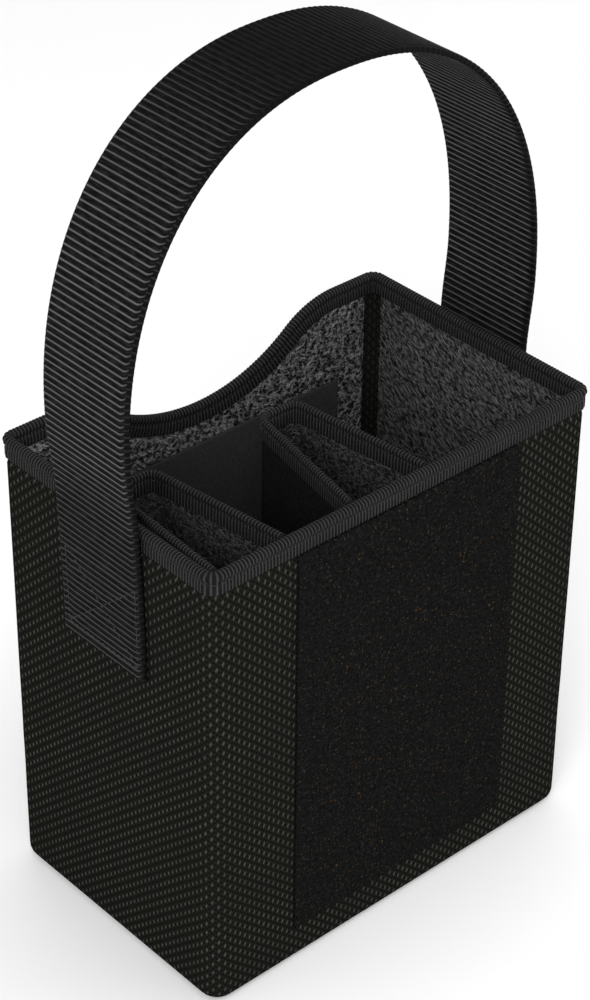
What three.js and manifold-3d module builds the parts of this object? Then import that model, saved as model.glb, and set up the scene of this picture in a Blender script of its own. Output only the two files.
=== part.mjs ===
// A soft-sided tool caddy: a stiffened fabric box with a scooped back wall, two tapered pockets hung
// from the front rim, a bound rim, loop fields inside and out, and a wide webbing handle.
// Millimetres. +X runs along the front, +Y to the back wall, +Z up. The origin is under the middle.
import * as THREE from "three";
import { mergeVertices } from "three/addons/utils/BufferGeometryUtils.js";
import Module from "manifold-3d";

const wasm = await Module();
wasm.setup();

// ---- Driving dimensions ----

const BODY_WIDTH = 200; // outside of the mesh, left to right
const BODY_DEPTH = 128; // outside of the mesh, front to back
const RIM_HEIGHT = 213.2; // top of the rim binding
const CORNER_RADIUS = 9; // vertical corners, outside
const BOTTOM_RADIUS = 6; // rounded edge under the walls
const GAP = 0.2; // clearance between flat layers
const CUT_GAP = 0.3; // clearance where pieces meet at an angle

const MESH = 1.8; // spacer mesh
const BOARD = 1; // stiffener boards
const LINING = 0.6; // coated lining cloth
const LOOP = 1.1; // loop fields
const TURN_IN = 7; // how far the wall mesh turns in under the base

const BOARD_END = 12; // boards stop this far short of the outer corner
const LINING_END = 8.5; // linings stop this far short of the outer corner
const SEAM_X = 90; // rear seams, between the wrap and the back cover

const SCOOP_HALF_WIDTH = 75; // scoop in the back wall
const SCOOP_DEPTH = 25.8;
const SCOOP_BOTTOM_RADIUS = 78; // the shoulders' radius follows from these three

const TAPE = 1; // binding tape
const TAPE_OUTER_DROP = 9.5; // how far the tape reaches down outside
const TAPE_INNER_DROP = 9; // how far it reaches down inside
const WALL_DROP = 3.5; // the wall layers end this far under the rim's top

const FRONT_LOOP = { halfWidth: 58, bottom: 19, top: 203.4 };
const INNER_LOOP = { halfWidth: 76, bottom: 17, top: 169 };

// x is the middle at the front wall, lean how far the middle drifts right for each mm further back.
const POCKETS = [
  { name: "left_pocket", x: -76.7, lean: -0.045, halfFront: 16.1, halfBack: 10.1 },
  { name: "middle_pocket", x: -7.6, lean: 0.041, halfFront: 19.6, halfBack: 9.1 },
];
const POCKET_BACK_Y = 7; // centre line of the pocket's far end
const POCKET_CORNER = 5; // centre-line radius of its far corners
const POCKET_FLOOR_Z = 80;
const POCKET_TOP_Z = 212.7;
const POCKET_WALL = 1;
const POCKET_LINING = 0.6;
const POCKET_FLOOR = 1.2;
const POCKET_TAPE = 0.7;
const POCKET_TAPE_DROP = 9.4;

const STRAP_WIDTH = 49;
const STRAP_THICKNESS = 2.6;
const STRAP_BOTTOM_Z = 145.7; // lower end of the sewn legs
const STRAP_TOP_Z = 370.5; // top of the free arch
const STRAP_HALF_SPAN = 105.8; // outside of the arch at its widest
const STRAP_WIDEST_Z = 245;
const ARCH_POWER = 2.25; // 2 would be an ellipse; a little more fills the shoulders
const HINGE_Z = 215; // the arch bends here
const STITCH = { halfWidth: 21, bottom: 150.7, top: 186.7, line: 1.2, depth: 0.5 };

// ---- Values worked out from them ----

const HALF_X = BODY_WIDTH / 2;
const HALF_Y = BODY_DEPTH / 2;
const BOARD_IN = MESH + GAP; // insets of each layer's outer face
const LINING_IN = BOARD_IN + BOARD + GAP;
const WALL_STACK = LINING_IN + LINING;
const WALL_TOP_Z = RIM_HEIGHT - WALL_DROP;
const BOARD_BOTTOM_Z = BOTTOM_RADIUS + GAP;
const BASE_BOARD_Z = MESH + GAP;
const BASE_LINING_Z = BASE_BOARD_Z + BOARD + GAP;
const LINING_BOTTOM_Z = BASE_LINING_Z + LINING + GAP;
const TAPE_HALF = WALL_STACK / 2 + GAP + TAPE;
const TAPE_INSIDE = WALL_STACK + GAP + TAPE; // inset of the tape's inner face
const SHOULDER_RADIUS =
  (SCOOP_HALF_WIDTH ** 2 + SCOOP_DEPTH ** 2) / (2 * SCOOP_DEPTH) - SCOOP_BOTTOM_RADIUS;
const SHOULDER_ANGLE = Math.asin(SCOOP_HALF_WIDTH / (SCOOP_BOTTOM_RADIUS + SHOULDER_RADIUS));
const POCKET_STACK = POCKET_WALL + GAP + POCKET_LINING;
const STRAP_HALF = STRAP_WIDTH / 2;

// ---- Materials ----

function cloth(color, roughness) {
  return new THREE.MeshStandardMaterial({ color, roughness, metalness: 0 });
}

const MATERIALS = {
  mesh: cloth(0x1d1d1a, 0.9),
  board: cloth(0x2a2a2a, 0.7),
  lining: cloth(0x242426, 0.4),
  loop: cloth(0x141414, 1),
  tape: cloth(0x202022, 0.75),
  webbing: cloth(0x1b1b1c, 0.7),
  thread: cloth(0x303032, 0.6),
};

// ---- Geometry helpers ----

// Joins equal rings of points into one closed skin. An open row of rings gets a cap at each end.
function skin(rings, closed) {
  const count = rings[0].length;
  const points = rings.flat();
  const index = [];
  const spans = closed ? rings.length : rings.length - 1;
  for (let i = 0; i < spans; i += 1) {
    const here = i * count;
    const next = ((i + 1) % rings.length) * count;
    for (let j = 0; j < count; j += 1) {
      const k = (j + 1) % count;
      index.push(here + j, next + j, next + k, here + j, next + k, here + k);
    }
  }
  if (!closed) {
    const last = (rings.length - 1) * count;
    for (const [a, b, c] of capTriangles(rings[0])) {
      index.push(a, b, c);
    }
    for (const [a, b, c] of capTriangles(rings.at(-1))) {
      index.push(last + a, last + c, last + b);
    }
  }
  const geometry = new THREE.BufferGeometry().setFromPoints(points);
  geometry.setIndex(index);
  return facedOutward(geometry);
}

// Triangles of a flat ring, turned the way the ring's own order goes round.
function capTriangles(ring) {
  const normal = new THREE.Vector3();
  ring.forEach((p, i) => normal.add(p.clone().cross(ring[(i + 1) % ring.length])));
  const across = ring[1].clone().sub(ring[0]).normalize();
  const upward = normal.normalize().cross(across);
  const flat = ring.map((p) => new THREE.Vector2(p.dot(across), p.dot(upward)));
  return THREE.ShapeUtils.triangulateShape(flat, []);
}

// Turns every triangle round when the enclosed volume comes out negative.
function facedOutward(geometry) {
  const position = geometry.getAttribute("position");
  const index = geometry.getIndex().array;
  const [a, b, c] = [new THREE.Vector3(), new THREE.Vector3(), new THREE.Vector3()];
  let volume = 0;
  for (let i = 0; i < index.length; i += 3) {
    a.fromBufferAttribute(position, index[i]);
    b.fromBufferAttribute(position, index[i + 1]);
    c.fromBufferAttribute(position, index[i + 2]);
    volume += a.dot(b.cross(c));
  }
  if (volume < 0) {
    for (let i = 0; i < index.length; i += 3) {
      [index[i + 1], index[i + 2]] = [index[i + 2], index[i + 1]];
    }
  }
  return geometry;
}

function solid(geometry) {
  const bare = geometry.index ? geometry.toNonIndexed() : geometry.clone();
  bare.deleteAttribute("normal");
  bare.deleteAttribute("uv");
  const merged = mergeVertices(bare, 1e-4);
  const vertProperties = merged.getAttribute("position").array;
  const triVerts = new Uint32Array(merged.index.array);
  return new wasm.Manifold(new wasm.Mesh({ numProp: 3, vertProperties, triVerts }));
}

function cut(geometry, tool) {
  const mesh = solid(geometry).subtract(solid(tool)).getMesh();
  const result = new THREE.BufferGeometry();
  result.setAttribute("position", new THREE.BufferAttribute(mesh.vertProperties, mesh.numProp));
  result.setIndex(new THREE.BufferAttribute(mesh.triVerts, 1));
  return result;
}

// A box between two corners.
function block(low, high) {
  const size = high.map((h, i) => h - low[i]);
  const geometry = new THREE.BoxGeometry(...size);
  return geometry.translate(...low.map((l, i) => l + size[i] / 2));
}

// A flat plate with rounded corners, centred on the Z axis, from z up.
function roundedPlate(halfX, halfY, radius, z, thickness) {
  const shape = new THREE.Shape();
  shape.moveTo(-halfX + radius, -halfY);
  shape.absarc(halfX - radius, -halfY + radius, radius, -Math.PI / 2, 0, false);
  shape.absarc(halfX - radius, halfY - radius, radius, 0, Math.PI / 2, false);
  shape.absarc(-halfX + radius, halfY - radius, radius, Math.PI / 2, Math.PI, false);
  shape.absarc(-halfX + radius, -halfY + radius, radius, Math.PI, Math.PI * 1.5, false);
  const options = { depth: thickness, bevelEnabled: false, curveSegments: 3 };
  return new THREE.ExtrudeGeometry(shape, options).translate(0, 0, z);
}

// A point on the path a section is carried along, with its outward and upward directions.
function station(x, y, z, outward, upward = new THREE.Vector3(0, 0, 1)) {
  return { origin: new THREE.Vector3(x, y, z), outward, upward };
}

// Places a section's points, each (outward, upward), at a station.
function ringAt({ origin, outward, upward }, section) {
  return section.map(([out, up]) =>
    origin.clone().addScaledVector(outward, out).addScaledVector(upward, up),
  );
}

// Stations round a plan arc about (x, y), from one angle to another, in degrees.
function planArc(x, y, radius, from, to, z, steps) {
  return Array.from({ length: steps + 1 }, (_, i) => {
    const angle = THREE.MathUtils.degToRad(from + ((to - from) * i) / steps);
    const outward = new THREE.Vector3(Math.cos(angle), Math.sin(angle), 0);
    return station(x + radius * outward.x, y + radius * outward.y, z, outward);
  });
}

// ---- The scoop ----

// The rim line of the back wall from right to left, a distance under the rim's top:
// [x, z, lean], where lean is the angle of the line's upward normal from +Z towards +X.
function scoopLine(under, steps) {
  const low = RIM_HEIGHT - SCOOP_DEPTH;
  const line = [];
  const bend = (cx, cz, radius, from, to) => {
    for (let i = 0; i <= steps; i += 1) {
      const lean = from + ((to - from) * i) / steps;
      line.push([cx + radius * Math.sin(lean), cz + radius * Math.cos(lean), lean]);
    }
  };
  const shoulder = SHOULDER_RADIUS - under;
  const shoulderZ = RIM_HEIGHT - SHOULDER_RADIUS;
  bend(SCOOP_HALF_WIDTH, shoulderZ, shoulder, 0, -SHOULDER_ANGLE);
  line.pop();
  const bottom = -(SCOOP_BOTTOM_RADIUS + under);
  bend(0, low + SCOOP_BOTTOM_RADIUS, bottom, -SHOULDER_ANGLE, SHOULDER_ANGLE);
  line.pop();
  bend(-SCOOP_HALF_WIDTH, shoulderZ, shoulder, SHOULDER_ANGLE, 0);
  return line;
}

// The prism that cuts the scoop out of the back wall's layers.
function scoopCutter() {
  const above = RIM_HEIGHT + 20;
  const shape = new THREE.Shape();
  shape.moveTo(SCOOP_HALF_WIDTH, above);
  for (const [x, z] of scoopLine(WALL_DROP, 8)) {
    shape.lineTo(x, z);
  }
  shape.lineTo(-SCOOP_HALF_WIDTH, above);
  const depth = 40;
  const prism = new THREE.ExtrudeGeometry(shape, { depth, bevelEnabled: false });
  return prism.rotateX(Math.PI / 2).translate(0, HALF_Y + depth / 2, 0);
}

// ---- The box ----

// The wall mesh in section, (inset from the outer face, height): a straight wall that rounds in
// under the base.
function wallSection() {
  const section = [[0, WALL_TOP_Z]];
  const inner = BOTTOM_RADIUS - MESH;
  const bend = (radius, from, to) => {
    const steps = 4;
    for (let i = 0; i <= steps; i += 1) {
      const angle = THREE.MathUtils.degToRad(from + ((to - from) * i) / steps);
      section.push([BOTTOM_RADIUS - radius * Math.cos(angle), BOTTOM_RADIUS - radius * Math.sin(angle)]);
    }
  };
  bend(BOTTOM_RADIUS, 0, 90);
  section.push([TURN_IN, 0], [TURN_IN, MESH]);
  bend(inner, 90, 0);
  section.push([MESH, WALL_TOP_Z]);
  return section.map(([inset, height]) => [-inset, height]);
}

function bodyWrap() {
  const cx = HALF_X - CORNER_RADIUS;
  const cy = HALF_Y - CORNER_RADIUS;
  const back = new THREE.Vector3(0, 1, 0);
  const seam = SEAM_X + GAP / 2;
  const path = [
    station(-seam, HALF_Y, 0, back),
    ...planArc(-cx, cy, CORNER_RADIUS, 90, 180, 0, 4),
    ...planArc(-cx, -cy, CORNER_RADIUS, 180, 270, 0, 4),
    ...planArc(cx, -cy, CORNER_RADIUS, 270, 360, 0, 4),
    ...planArc(cx, cy, CORNER_RADIUS, 0, 90, 0, 4),
    station(seam, HALF_Y, 0, back),
  ];
  return skin(path.map((at) => ringAt(at, wallSection())), false);
}

function backCover() {
  const back = new THREE.Vector3(0, 1, 0);
  const half = SEAM_X - GAP / 2;
  const path = [station(-half, HALF_Y, 0, back), station(half, HALF_Y, 0, back)];
  const straight = skin(path.map((at) => ringAt(at, wallSection())), false);
  return cut(straight, scoopCutter());
}

function baseCover() {
  const inset = TURN_IN + GAP;
  return roundedPlate(HALF_X - inset, HALF_Y - inset, CORNER_RADIUS - inset, 0, MESH);
}

function baseBoard() {
  const inset = BOTTOM_RADIUS;
  return roundedPlate(HALF_X - inset, HALF_Y - inset, CORNER_RADIUS - inset, BASE_BOARD_Z, BOARD);
}

function baseLining() {
  const inset = LINING_IN + GAP * 2;
  return roundedPlate(HALF_X - inset, HALF_Y - inset, CORNER_RADIUS - inset, BASE_LINING_Z, LINING);
}

// A flat layer of one wall: side is front, back, left or right.
function wallLayer(side, inset, thickness, end, bottom) {
  const alongX = side === "front" || side === "back";
  const half = (alongX ? HALF_X : HALF_Y) - end;
  const face = (alongX ? HALF_Y : HALF_X) - inset;
  const sign = side === "back" || side === "right" ? 1 : -1;
  const near = Math.min(sign * face, sign * (face - thickness));
  const low = alongX ? [-half, near, bottom] : [near, -half, bottom];
  const high = alongX
    ? [half, near + thickness, WALL_TOP_Z]
    : [near + thickness, half, WALL_TOP_Z];
  const plate = block(low, high);
  return side === "back" ? cut(plate, scoopCutter()) : plate;
}

function frontLoopPanel() {
  const { halfWidth, bottom, top } = FRONT_LOOP;
  const face = -HALF_Y - GAP;
  return block([-halfWidth, face - LOOP, bottom], [halfWidth, face, top]);
}

function innerLoopPanel() {
  const { halfWidth, bottom, top } = INNER_LOOP;
  const face = HALF_Y - WALL_STACK - GAP;
  return block([-halfWidth, face - LOOP, bottom], [halfWidth, face, top]);
}

// ---- Binding tape ----

// Folded tape in section: a rounded roll over the edge and a leg down each side of it.
function tapeSection(half, thickness, rollHeight, outerDrop, innerDrop, edgeDrop) {
  const section = [];
  const steps = 8;
  section.push([half, -outerDrop]);
  for (let i = 0; i <= steps; i += 1) {
    const angle = (Math.PI * i) / steps;
    section.push([half * Math.cos(angle), rollHeight * (Math.sin(angle) - 1)]);
  }
  section.push([-half, -innerDrop]);
  section.push([-half + thickness, -innerDrop]);
  section.push([-half + thickness, -edgeDrop + GAP]);
  section.push([half - thickness, -edgeDrop + GAP]);
  section.push([half - thickness, -outerDrop]);
  return section;
}

function rimBinding() {
  const inset = WALL_STACK / 2;
  const radius = CORNER_RADIUS - inset;
  const cx = HALF_X - CORNER_RADIUS;
  const cy = HALF_Y - CORNER_RADIUS;
  const back = new THREE.Vector3(0, 1, 0);
  const scoop = scoopLine(0, 8).map(([x, z, lean]) => {
    const upward = new THREE.Vector3(Math.sin(lean), 0, Math.cos(lean));
    return station(x, HALF_Y - inset, z, back, upward);
  });
  const path = [
    ...planArc(-cx, cy, radius, 90, 180, RIM_HEIGHT, 4),
    ...planArc(-cx, -cy, radius, 180, 270, RIM_HEIGHT, 4),
    ...planArc(cx, -cy, radius, 270, 360, RIM_HEIGHT, 4),
    ...planArc(cx, cy, radius, 0, 90, RIM_HEIGHT, 4),
    ...scoop,
  ];
  const roll = TAPE_HALF * 0.75;
  const section = tapeSection(TAPE_HALF, TAPE, roll, TAPE_OUTER_DROP, TAPE_INNER_DROP, WALL_DROP);
  return skin(path.map((at) => ringAt(at, section)), true);
}

// ---- Pockets ----

// A pocket's centre line in plan, from its front left end round to its front right end. The two
// sides taper towards the far end, and the ends are cut square to the front wall.
function pocketPath({ x, lean, halfFront, halfBack }, frontY, z) {
  const taper = Math.atan2(halfFront - halfBack, POCKET_BACK_Y + HALF_Y - WALL_STACK);
  const degrees = THREE.MathUtils.radToDeg(taper);
  const slope = Math.tan(taper);
  const wallY = -HALF_Y + WALL_STACK;
  const farX = halfBack - POCKET_CORNER / Math.cos(taper) + slope * POCKET_CORNER;
  const farY = POCKET_BACK_Y - POCKET_CORNER;
  const frontX = halfFront - slope * (frontY - wallY);
  const square = 1 / Math.cos(taper);
  const steps = 4;
  const path = [
    station(x - frontX, frontY, z, new THREE.Vector3(-square, 0, 0)),
    ...planArc(x - farX, farY, POCKET_CORNER, 180 - degrees, 90, z, steps),
    ...planArc(x + farX, farY, POCKET_CORNER, 90, degrees, z, steps),
    station(x + frontX, frontY, z, new THREE.Vector3(square, 0, 0)),
  ];
  for (const { origin } of path) {
    origin.x += lean * (origin.y - wallY);
  }
  return path;
}

// The corner the rim tape fills inside, at the front left: no pocket piece comes into it.
function cornerKeepOut() {
  const low = [-HALF_X, -HALF_Y, RIM_HEIGHT - TAPE_INNER_DROP - CUT_GAP];
  const side = -HALF_X + CORNER_RADIUS;
  const front = -HALF_Y + CORNER_RADIUS - 1.4;
  return block(low, [side, front, RIM_HEIGHT + 10]);
}

// An upright sheet along a pocket's centre line, between two distances outward of it, notched at
// the front where the rim tape comes down inside the wall.
function pocketSheet(pocket, near, far) {
  const bottom = POCKET_FLOOR_Z;
  const top = POCKET_TOP_Z - WALL_DROP;
  const front = -HALF_Y + WALL_STACK + CUT_GAP;
  const section = [[near, bottom], [far, bottom], [far, top], [near, top]];
  const path = pocketPath(pocket, front, 0);
  const sheet = skin(path.map((at) => ringAt(at, section)), false);
  const notchY = -HALF_Y + TAPE_INSIDE + CUT_GAP;
  const notchZ = RIM_HEIGHT - TAPE_INNER_DROP - CUT_GAP;
  const reach = pocket.halfFront + 10;
  const notch = block([pocket.x - reach, front - 10, notchZ], [pocket.x + reach, notchY, top + 10]);
  return cut(cut(sheet, notch), cornerKeepOut());
}

function pocketWall(pocket) {
  const outer = POCKET_STACK / 2;
  return pocketSheet(pocket, outer - POCKET_WALL, outer);
}

function pocketLining(pocket) {
  const outer = POCKET_STACK / 2;
  return pocketSheet(pocket, -outer, -outer + POCKET_LINING);
}

// The floor fills the outline inside the lining.
function pocketFloor(pocket) {
  const inset = POCKET_STACK / 2 + CUT_GAP;
  const front = -HALF_Y + WALL_STACK + CUT_GAP;
  const shape = new THREE.Shape();
  pocketPath(pocket, front, 0).forEach(({ origin, outward }, i) => {
    const p = origin.clone().addScaledVector(outward, -inset);
    if (i === 0) {
      shape.moveTo(p.x, p.y);
    } else {
      shape.lineTo(p.x, p.y);
    }
  });
  const floor = new THREE.ExtrudeGeometry(shape, { depth: POCKET_FLOOR, bevelEnabled: false });
  return floor.translate(0, 0, POCKET_FLOOR_Z);
}

function pocketBinding(pocket) {
  const half = POCKET_STACK / 2 + GAP + POCKET_TAPE;
  const front = -HALF_Y + TAPE_INSIDE + CUT_GAP;
  const drop = POCKET_TAPE_DROP;
  const section = tapeSection(half, POCKET_TAPE, half, drop, drop, WALL_DROP);
  const path = pocketPath(pocket, front, POCKET_TOP_Z);
  return cut(skin(path.map((at) => ringAt(at, section)), false), cornerKeepOut());
}

// ---- Handle ----

// The sewn leg of the webbing lies flat on the end wall, up to where the arch starts.
function strapLeg(sign) {
  const face = HALF_X + GAP;
  const near = Math.min(sign * face, sign * (face + STRAP_THICKNESS));
  const top = HINGE_Z - STRAP_HALF - CUT_GAP;
  const low = [near, -STRAP_HALF, STRAP_BOTTOM_Z];
  const high = [near + STRAP_THICKNESS, STRAP_HALF, top];
  return block(low, high);
}

// One flat strip: it rises outside the rim tape, widens a little and closes over the top. Each lower
// end is a half round about the hinge line, so it clears the sewn leg as it swings.
function strapArch() {
  const halfThick = STRAP_THICKNESS / 2;
  const rootX = HALF_X + GAP + TAPE + CUT_GAP + halfThick;
  const wide = STRAP_HALF_SPAN - halfThick;
  const rise = STRAP_TOP_Z - halfThick - STRAP_WIDEST_Z;
  const side = [];
  for (const degrees of [80, 64, 48, 32, 16, 0]) {
    const angle = THREE.MathUtils.degToRad(degrees);
    const z = HINGE_Z - STRAP_HALF * Math.sin(angle);
    side.push({ x: rootX, z, half: STRAP_HALF * Math.cos(angle) });
  }
  for (const t of [0.33, 0.67, 1]) {
    const ease = (1 - Math.cos(Math.PI * t)) / 2;
    const x = rootX + (wide - rootX) * ease;
    side.push({ x, z: HINGE_Z + (STRAP_WIDEST_Z - HINGE_Z) * t, half: STRAP_HALF });
  }
  const steps = 10;
  for (let i = 1; i <= steps; i += 1) {
    const angle = (Math.PI * i) / 2 / steps;
    const x = wide * Math.cos(angle) ** (2 / ARCH_POWER);
    const z = STRAP_WIDEST_Z + rise * Math.sin(angle) ** (2 / ARCH_POWER);
    side.push({ x: i === steps ? 0 : x, z, half: STRAP_HALF });
  }
  const mirrored = side.slice(0, -1).reverse();
  const line = [...side, ...mirrored.map((p) => ({ ...p, x: -p.x }))];
  const rings = line.map((p, i) => {
    const before = line[Math.max(i - 1, 0)];
    const after = line[Math.min(i + 1, line.length - 1)];
    const along = new THREE.Vector2(after.x - before.x, after.z - before.z).normalize();
    const nx = along.y * halfThick;
    const nz = -along.x * halfThick;
    return [
      new THREE.Vector3(p.x + nx, -p.half, p.z + nz),
      new THREE.Vector3(p.x + nx, p.half, p.z + nz),
      new THREE.Vector3(p.x - nx, p.half, p.z - nz),
      new THREE.Vector3(p.x - nx, -p.half, p.z - nz),
    ];
  });
  return skin(rings, false);
}

// Raised thread on a sewn leg: a box with a cross in it, made as a plate with four windows.
function strapStitching(sign) {
  const { halfWidth, bottom, top, line, depth } = STITCH;
  const middle = (bottom + top) / 2;
  const halfHeight = (top - bottom) / 2;
  const shape = new THREE.Shape();
  shape.moveTo(-halfWidth, -halfHeight);
  shape.lineTo(halfWidth, -halfHeight);
  shape.lineTo(halfWidth, halfHeight);
  shape.lineTo(-halfWidth, halfHeight);
  shape.closePath();
  const w = halfWidth - line;
  const h = halfHeight - line;
  const nib = (line / 2) * Math.hypot(w, h);
  const slotX = nib / h;
  const slotY = nib / w;
  for (const s of [-1, 1]) {
    shape.holes.push(triangle([s * w, -h + slotY], [s * w, h - slotY], [s * slotX, 0]));
    shape.holes.push(triangle([-w + slotX, s * h], [w - slotX, s * h], [0, s * slotY]));
  }
  const plate = new THREE.ExtrudeGeometry(shape, { depth, bevelEnabled: false });
  plate.rotateX(Math.PI / 2).rotateZ(Math.PI / 2).translate(0, 0, middle);
  const face = HALF_X + GAP + STRAP_THICKNESS + GAP / 2;
  return plate.translate(sign > 0 ? face : -face - depth, 0, 0);
}

function triangle(a, b, c) {
  const hole = new THREE.Path();
  hole.moveTo(...a);
  hole.lineTo(...b);
  hole.lineTo(...c);
  hole.closePath();
  return hole;
}

// ---- The assembly ----

function part(name, geometry, material) {
  geometry.computeVertexNormals();
  const mesh = new THREE.Mesh(geometry, material);
  mesh.name = name;
  return mesh;
}

function buildCaddy() {
  const caddy = new THREE.Group();
  const box = new THREE.Group();
  const handle = new THREE.Group();
  caddy.add(box, handle);
  box.add(
    part("body_wrap", bodyWrap(), MATERIALS.mesh),
    part("back_cover", backCover(), MATERIALS.mesh),
    part("base_cover", baseCover(), MATERIALS.mesh),
    part("base_board", baseBoard(), MATERIALS.board),
    part("base_lining", baseLining(), MATERIALS.lining),
    part("front_loop_panel", frontLoopPanel(), MATERIALS.loop),
    part("inner_loop_panel", innerLoopPanel(), MATERIALS.loop),
    part("rim_binding", rimBinding(), MATERIALS.tape),
  );
  for (const side of ["front", "back", "left", "right"]) {
    const board = wallLayer(side, BOARD_IN, BOARD, BOARD_END, BOARD_BOTTOM_Z);
    const lining = wallLayer(side, LINING_IN, LINING, LINING_END, LINING_BOTTOM_Z);
    box.add(part(`${side}_board`, board, MATERIALS.board));
    box.add(part(`${side}_lining`, lining, MATERIALS.lining));
  }
  for (const pocket of POCKETS) {
    box.add(
      part(`${pocket.name}_wall`, pocketWall(pocket), MATERIALS.loop),
      part(`${pocket.name}_lining`, pocketLining(pocket), MATERIALS.lining),
      part(`${pocket.name}_floor`, pocketFloor(pocket), MATERIALS.lining),
      part(`${pocket.name}_binding`, pocketBinding(pocket), MATERIALS.tape),
    );
  }
  for (const [side, sign] of [["left", -1], ["right", 1]]) {
    handle.add(part(`strap_${side}_leg`, strapLeg(sign), MATERIALS.webbing));
    handle.add(part(`strap_${side}_stitching`, strapStitching(sign), MATERIALS.thread));
  }
  handle.add(part("strap_arch", strapArch(), MATERIALS.webbing));
  return caddy;
}

export default buildCaddy();
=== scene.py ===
"""The looks of a soft-sided tool caddy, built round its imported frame.

Every length is in metres. +X runs along the front wall, +Y to the scooped back wall and +Z up.
Each sub-assembly is a class that works out its surfaces with numpy and dresses them.
"""

import logging
import math
from abc import ABC, abstractmethod
from dataclasses import dataclass, field
from enum import Enum

import bpy
import numpy as np
from mathutils import Matrix, Vector


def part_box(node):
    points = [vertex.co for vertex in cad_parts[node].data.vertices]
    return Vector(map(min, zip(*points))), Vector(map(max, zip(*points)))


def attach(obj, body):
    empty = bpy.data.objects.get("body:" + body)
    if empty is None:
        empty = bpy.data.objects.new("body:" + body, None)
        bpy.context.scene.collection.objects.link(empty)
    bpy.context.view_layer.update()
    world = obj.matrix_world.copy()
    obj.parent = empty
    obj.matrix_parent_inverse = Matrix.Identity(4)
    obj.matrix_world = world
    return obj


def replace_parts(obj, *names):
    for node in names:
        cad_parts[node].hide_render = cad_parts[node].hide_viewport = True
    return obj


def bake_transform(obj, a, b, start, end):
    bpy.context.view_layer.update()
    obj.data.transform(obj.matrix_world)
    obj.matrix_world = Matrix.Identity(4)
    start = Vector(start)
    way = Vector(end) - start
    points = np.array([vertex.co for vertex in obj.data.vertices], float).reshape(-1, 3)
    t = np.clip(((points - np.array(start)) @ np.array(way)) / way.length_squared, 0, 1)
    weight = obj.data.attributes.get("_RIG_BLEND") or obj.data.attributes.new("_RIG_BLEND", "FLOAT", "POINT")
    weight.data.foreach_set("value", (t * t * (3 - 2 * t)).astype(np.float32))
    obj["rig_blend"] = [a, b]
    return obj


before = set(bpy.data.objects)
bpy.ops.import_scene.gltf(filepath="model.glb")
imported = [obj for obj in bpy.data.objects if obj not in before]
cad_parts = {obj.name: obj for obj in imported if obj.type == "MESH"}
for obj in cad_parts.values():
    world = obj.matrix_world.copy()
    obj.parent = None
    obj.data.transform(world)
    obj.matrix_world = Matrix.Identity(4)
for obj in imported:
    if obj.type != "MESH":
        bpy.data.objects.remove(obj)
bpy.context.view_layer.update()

MM = 0.001
REVERSE = 10.0  # V is this much more on the reverse of the mesh
STITCH_PITCH = 3.1 * MM
LOG = logging.getLogger("caddy")
BODY = "caddy"
HANDLE = "handle"
UP = np.array([0.0, 0.0, 1.0])

Piece = bpy.types.Object
Socket = bpy.types.NodeSocket
Triple = tuple[float, float, float]


class Side(Enum):
    """The four walls, each with its outward direction in plan."""

    FRONT = (0.0, -1.0)
    BACK = (0.0, 1.0)
    LEFT = (-1.0, 0.0)
    RIGHT = (1.0, 0.0)

    @property
    def along_x(self) -> bool:
        """True for a wall that runs along X."""
        return self.value[0] == 0.0

    @property
    def word(self) -> str:
        """The wall's name in lower case."""
        return self.name.lower()


# ---------------------------------------------------------------- surfaces


def unit(vectors: np.ndarray) -> np.ndarray:
    """Vectors divided by their lengths, along the last axis."""
    length = np.linalg.norm(vectors, axis=-1, keepdims=True)
    return vectors / np.maximum(length, 1e-12)


def lattice_noise(x: np.ndarray, y: np.ndarray, cell: float, seed: int) -> np.ndarray:
    """Smooth noise from -1 to 1: random values on a square lattice, eased between its corners.

    Args:
        x: First coordinate of each point.
        y: Second coordinate of each point.
        cell: Spacing of the lattice.
        seed: Picks the random values.

    Returns:
        One value for each point.
    """
    size = 64
    values = np.random.RandomState(seed).uniform(-1.0, 1.0, (size, size))
    gx, gy = x / cell, y / cell
    ix, iy = np.floor(gx).astype(int), np.floor(gy).astype(int)
    fx, fy = gx - ix, gy - iy
    fx, fy = fx * fx * (3 - 2 * fx), fy * fy * (3 - 2 * fy)
    x0, x1, y0, y1 = ix % size, (ix + 1) % size, iy % size, (iy + 1) % size
    low = values[x0, y0] * (1 - fx) + values[x1, y0] * fx
    high = values[x0, y1] * (1 - fx) + values[x1, y1] * fx
    return low * (1 - fy) + high * fy


def crinkle(x: np.ndarray, y: np.ndarray, seed: int, cell: float, slant: float = 0.0) -> np.ndarray:
    """Height of crumpled cloth from 0 to 1: sharp crests where warped smooth noise changes sign.

    Args:
        x: First coordinate of each point.
        y: Second coordinate of each point.
        seed: Picks the random values.
        cell: Size of the largest crease.
        slant: How much creases are drawn out along the falling diagonal, from 0 to 1.

    Returns:
        One height for each point.
    """
    across, along = (x + y) * math.sqrt(0.5), (x - y) * math.sqrt(0.5)
    a, b = across * (1 + slant), along * (1 - 0.6 * slant)
    warp = cell * 0.7
    wa = a + warp * lattice_noise(a, b, cell * 1.7, seed + 1)
    wb = b + warp * lattice_noise(a, b, cell * 1.9, seed + 2)
    height = np.zeros_like(x)
    share = 0.5
    for octave in range(3):
        ridge = 1 - np.abs(lattice_noise(wa, wb, cell / 2**octave, seed + 3 + octave))
        height += share * ridge**3
        share *= 0.55
    return height


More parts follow.
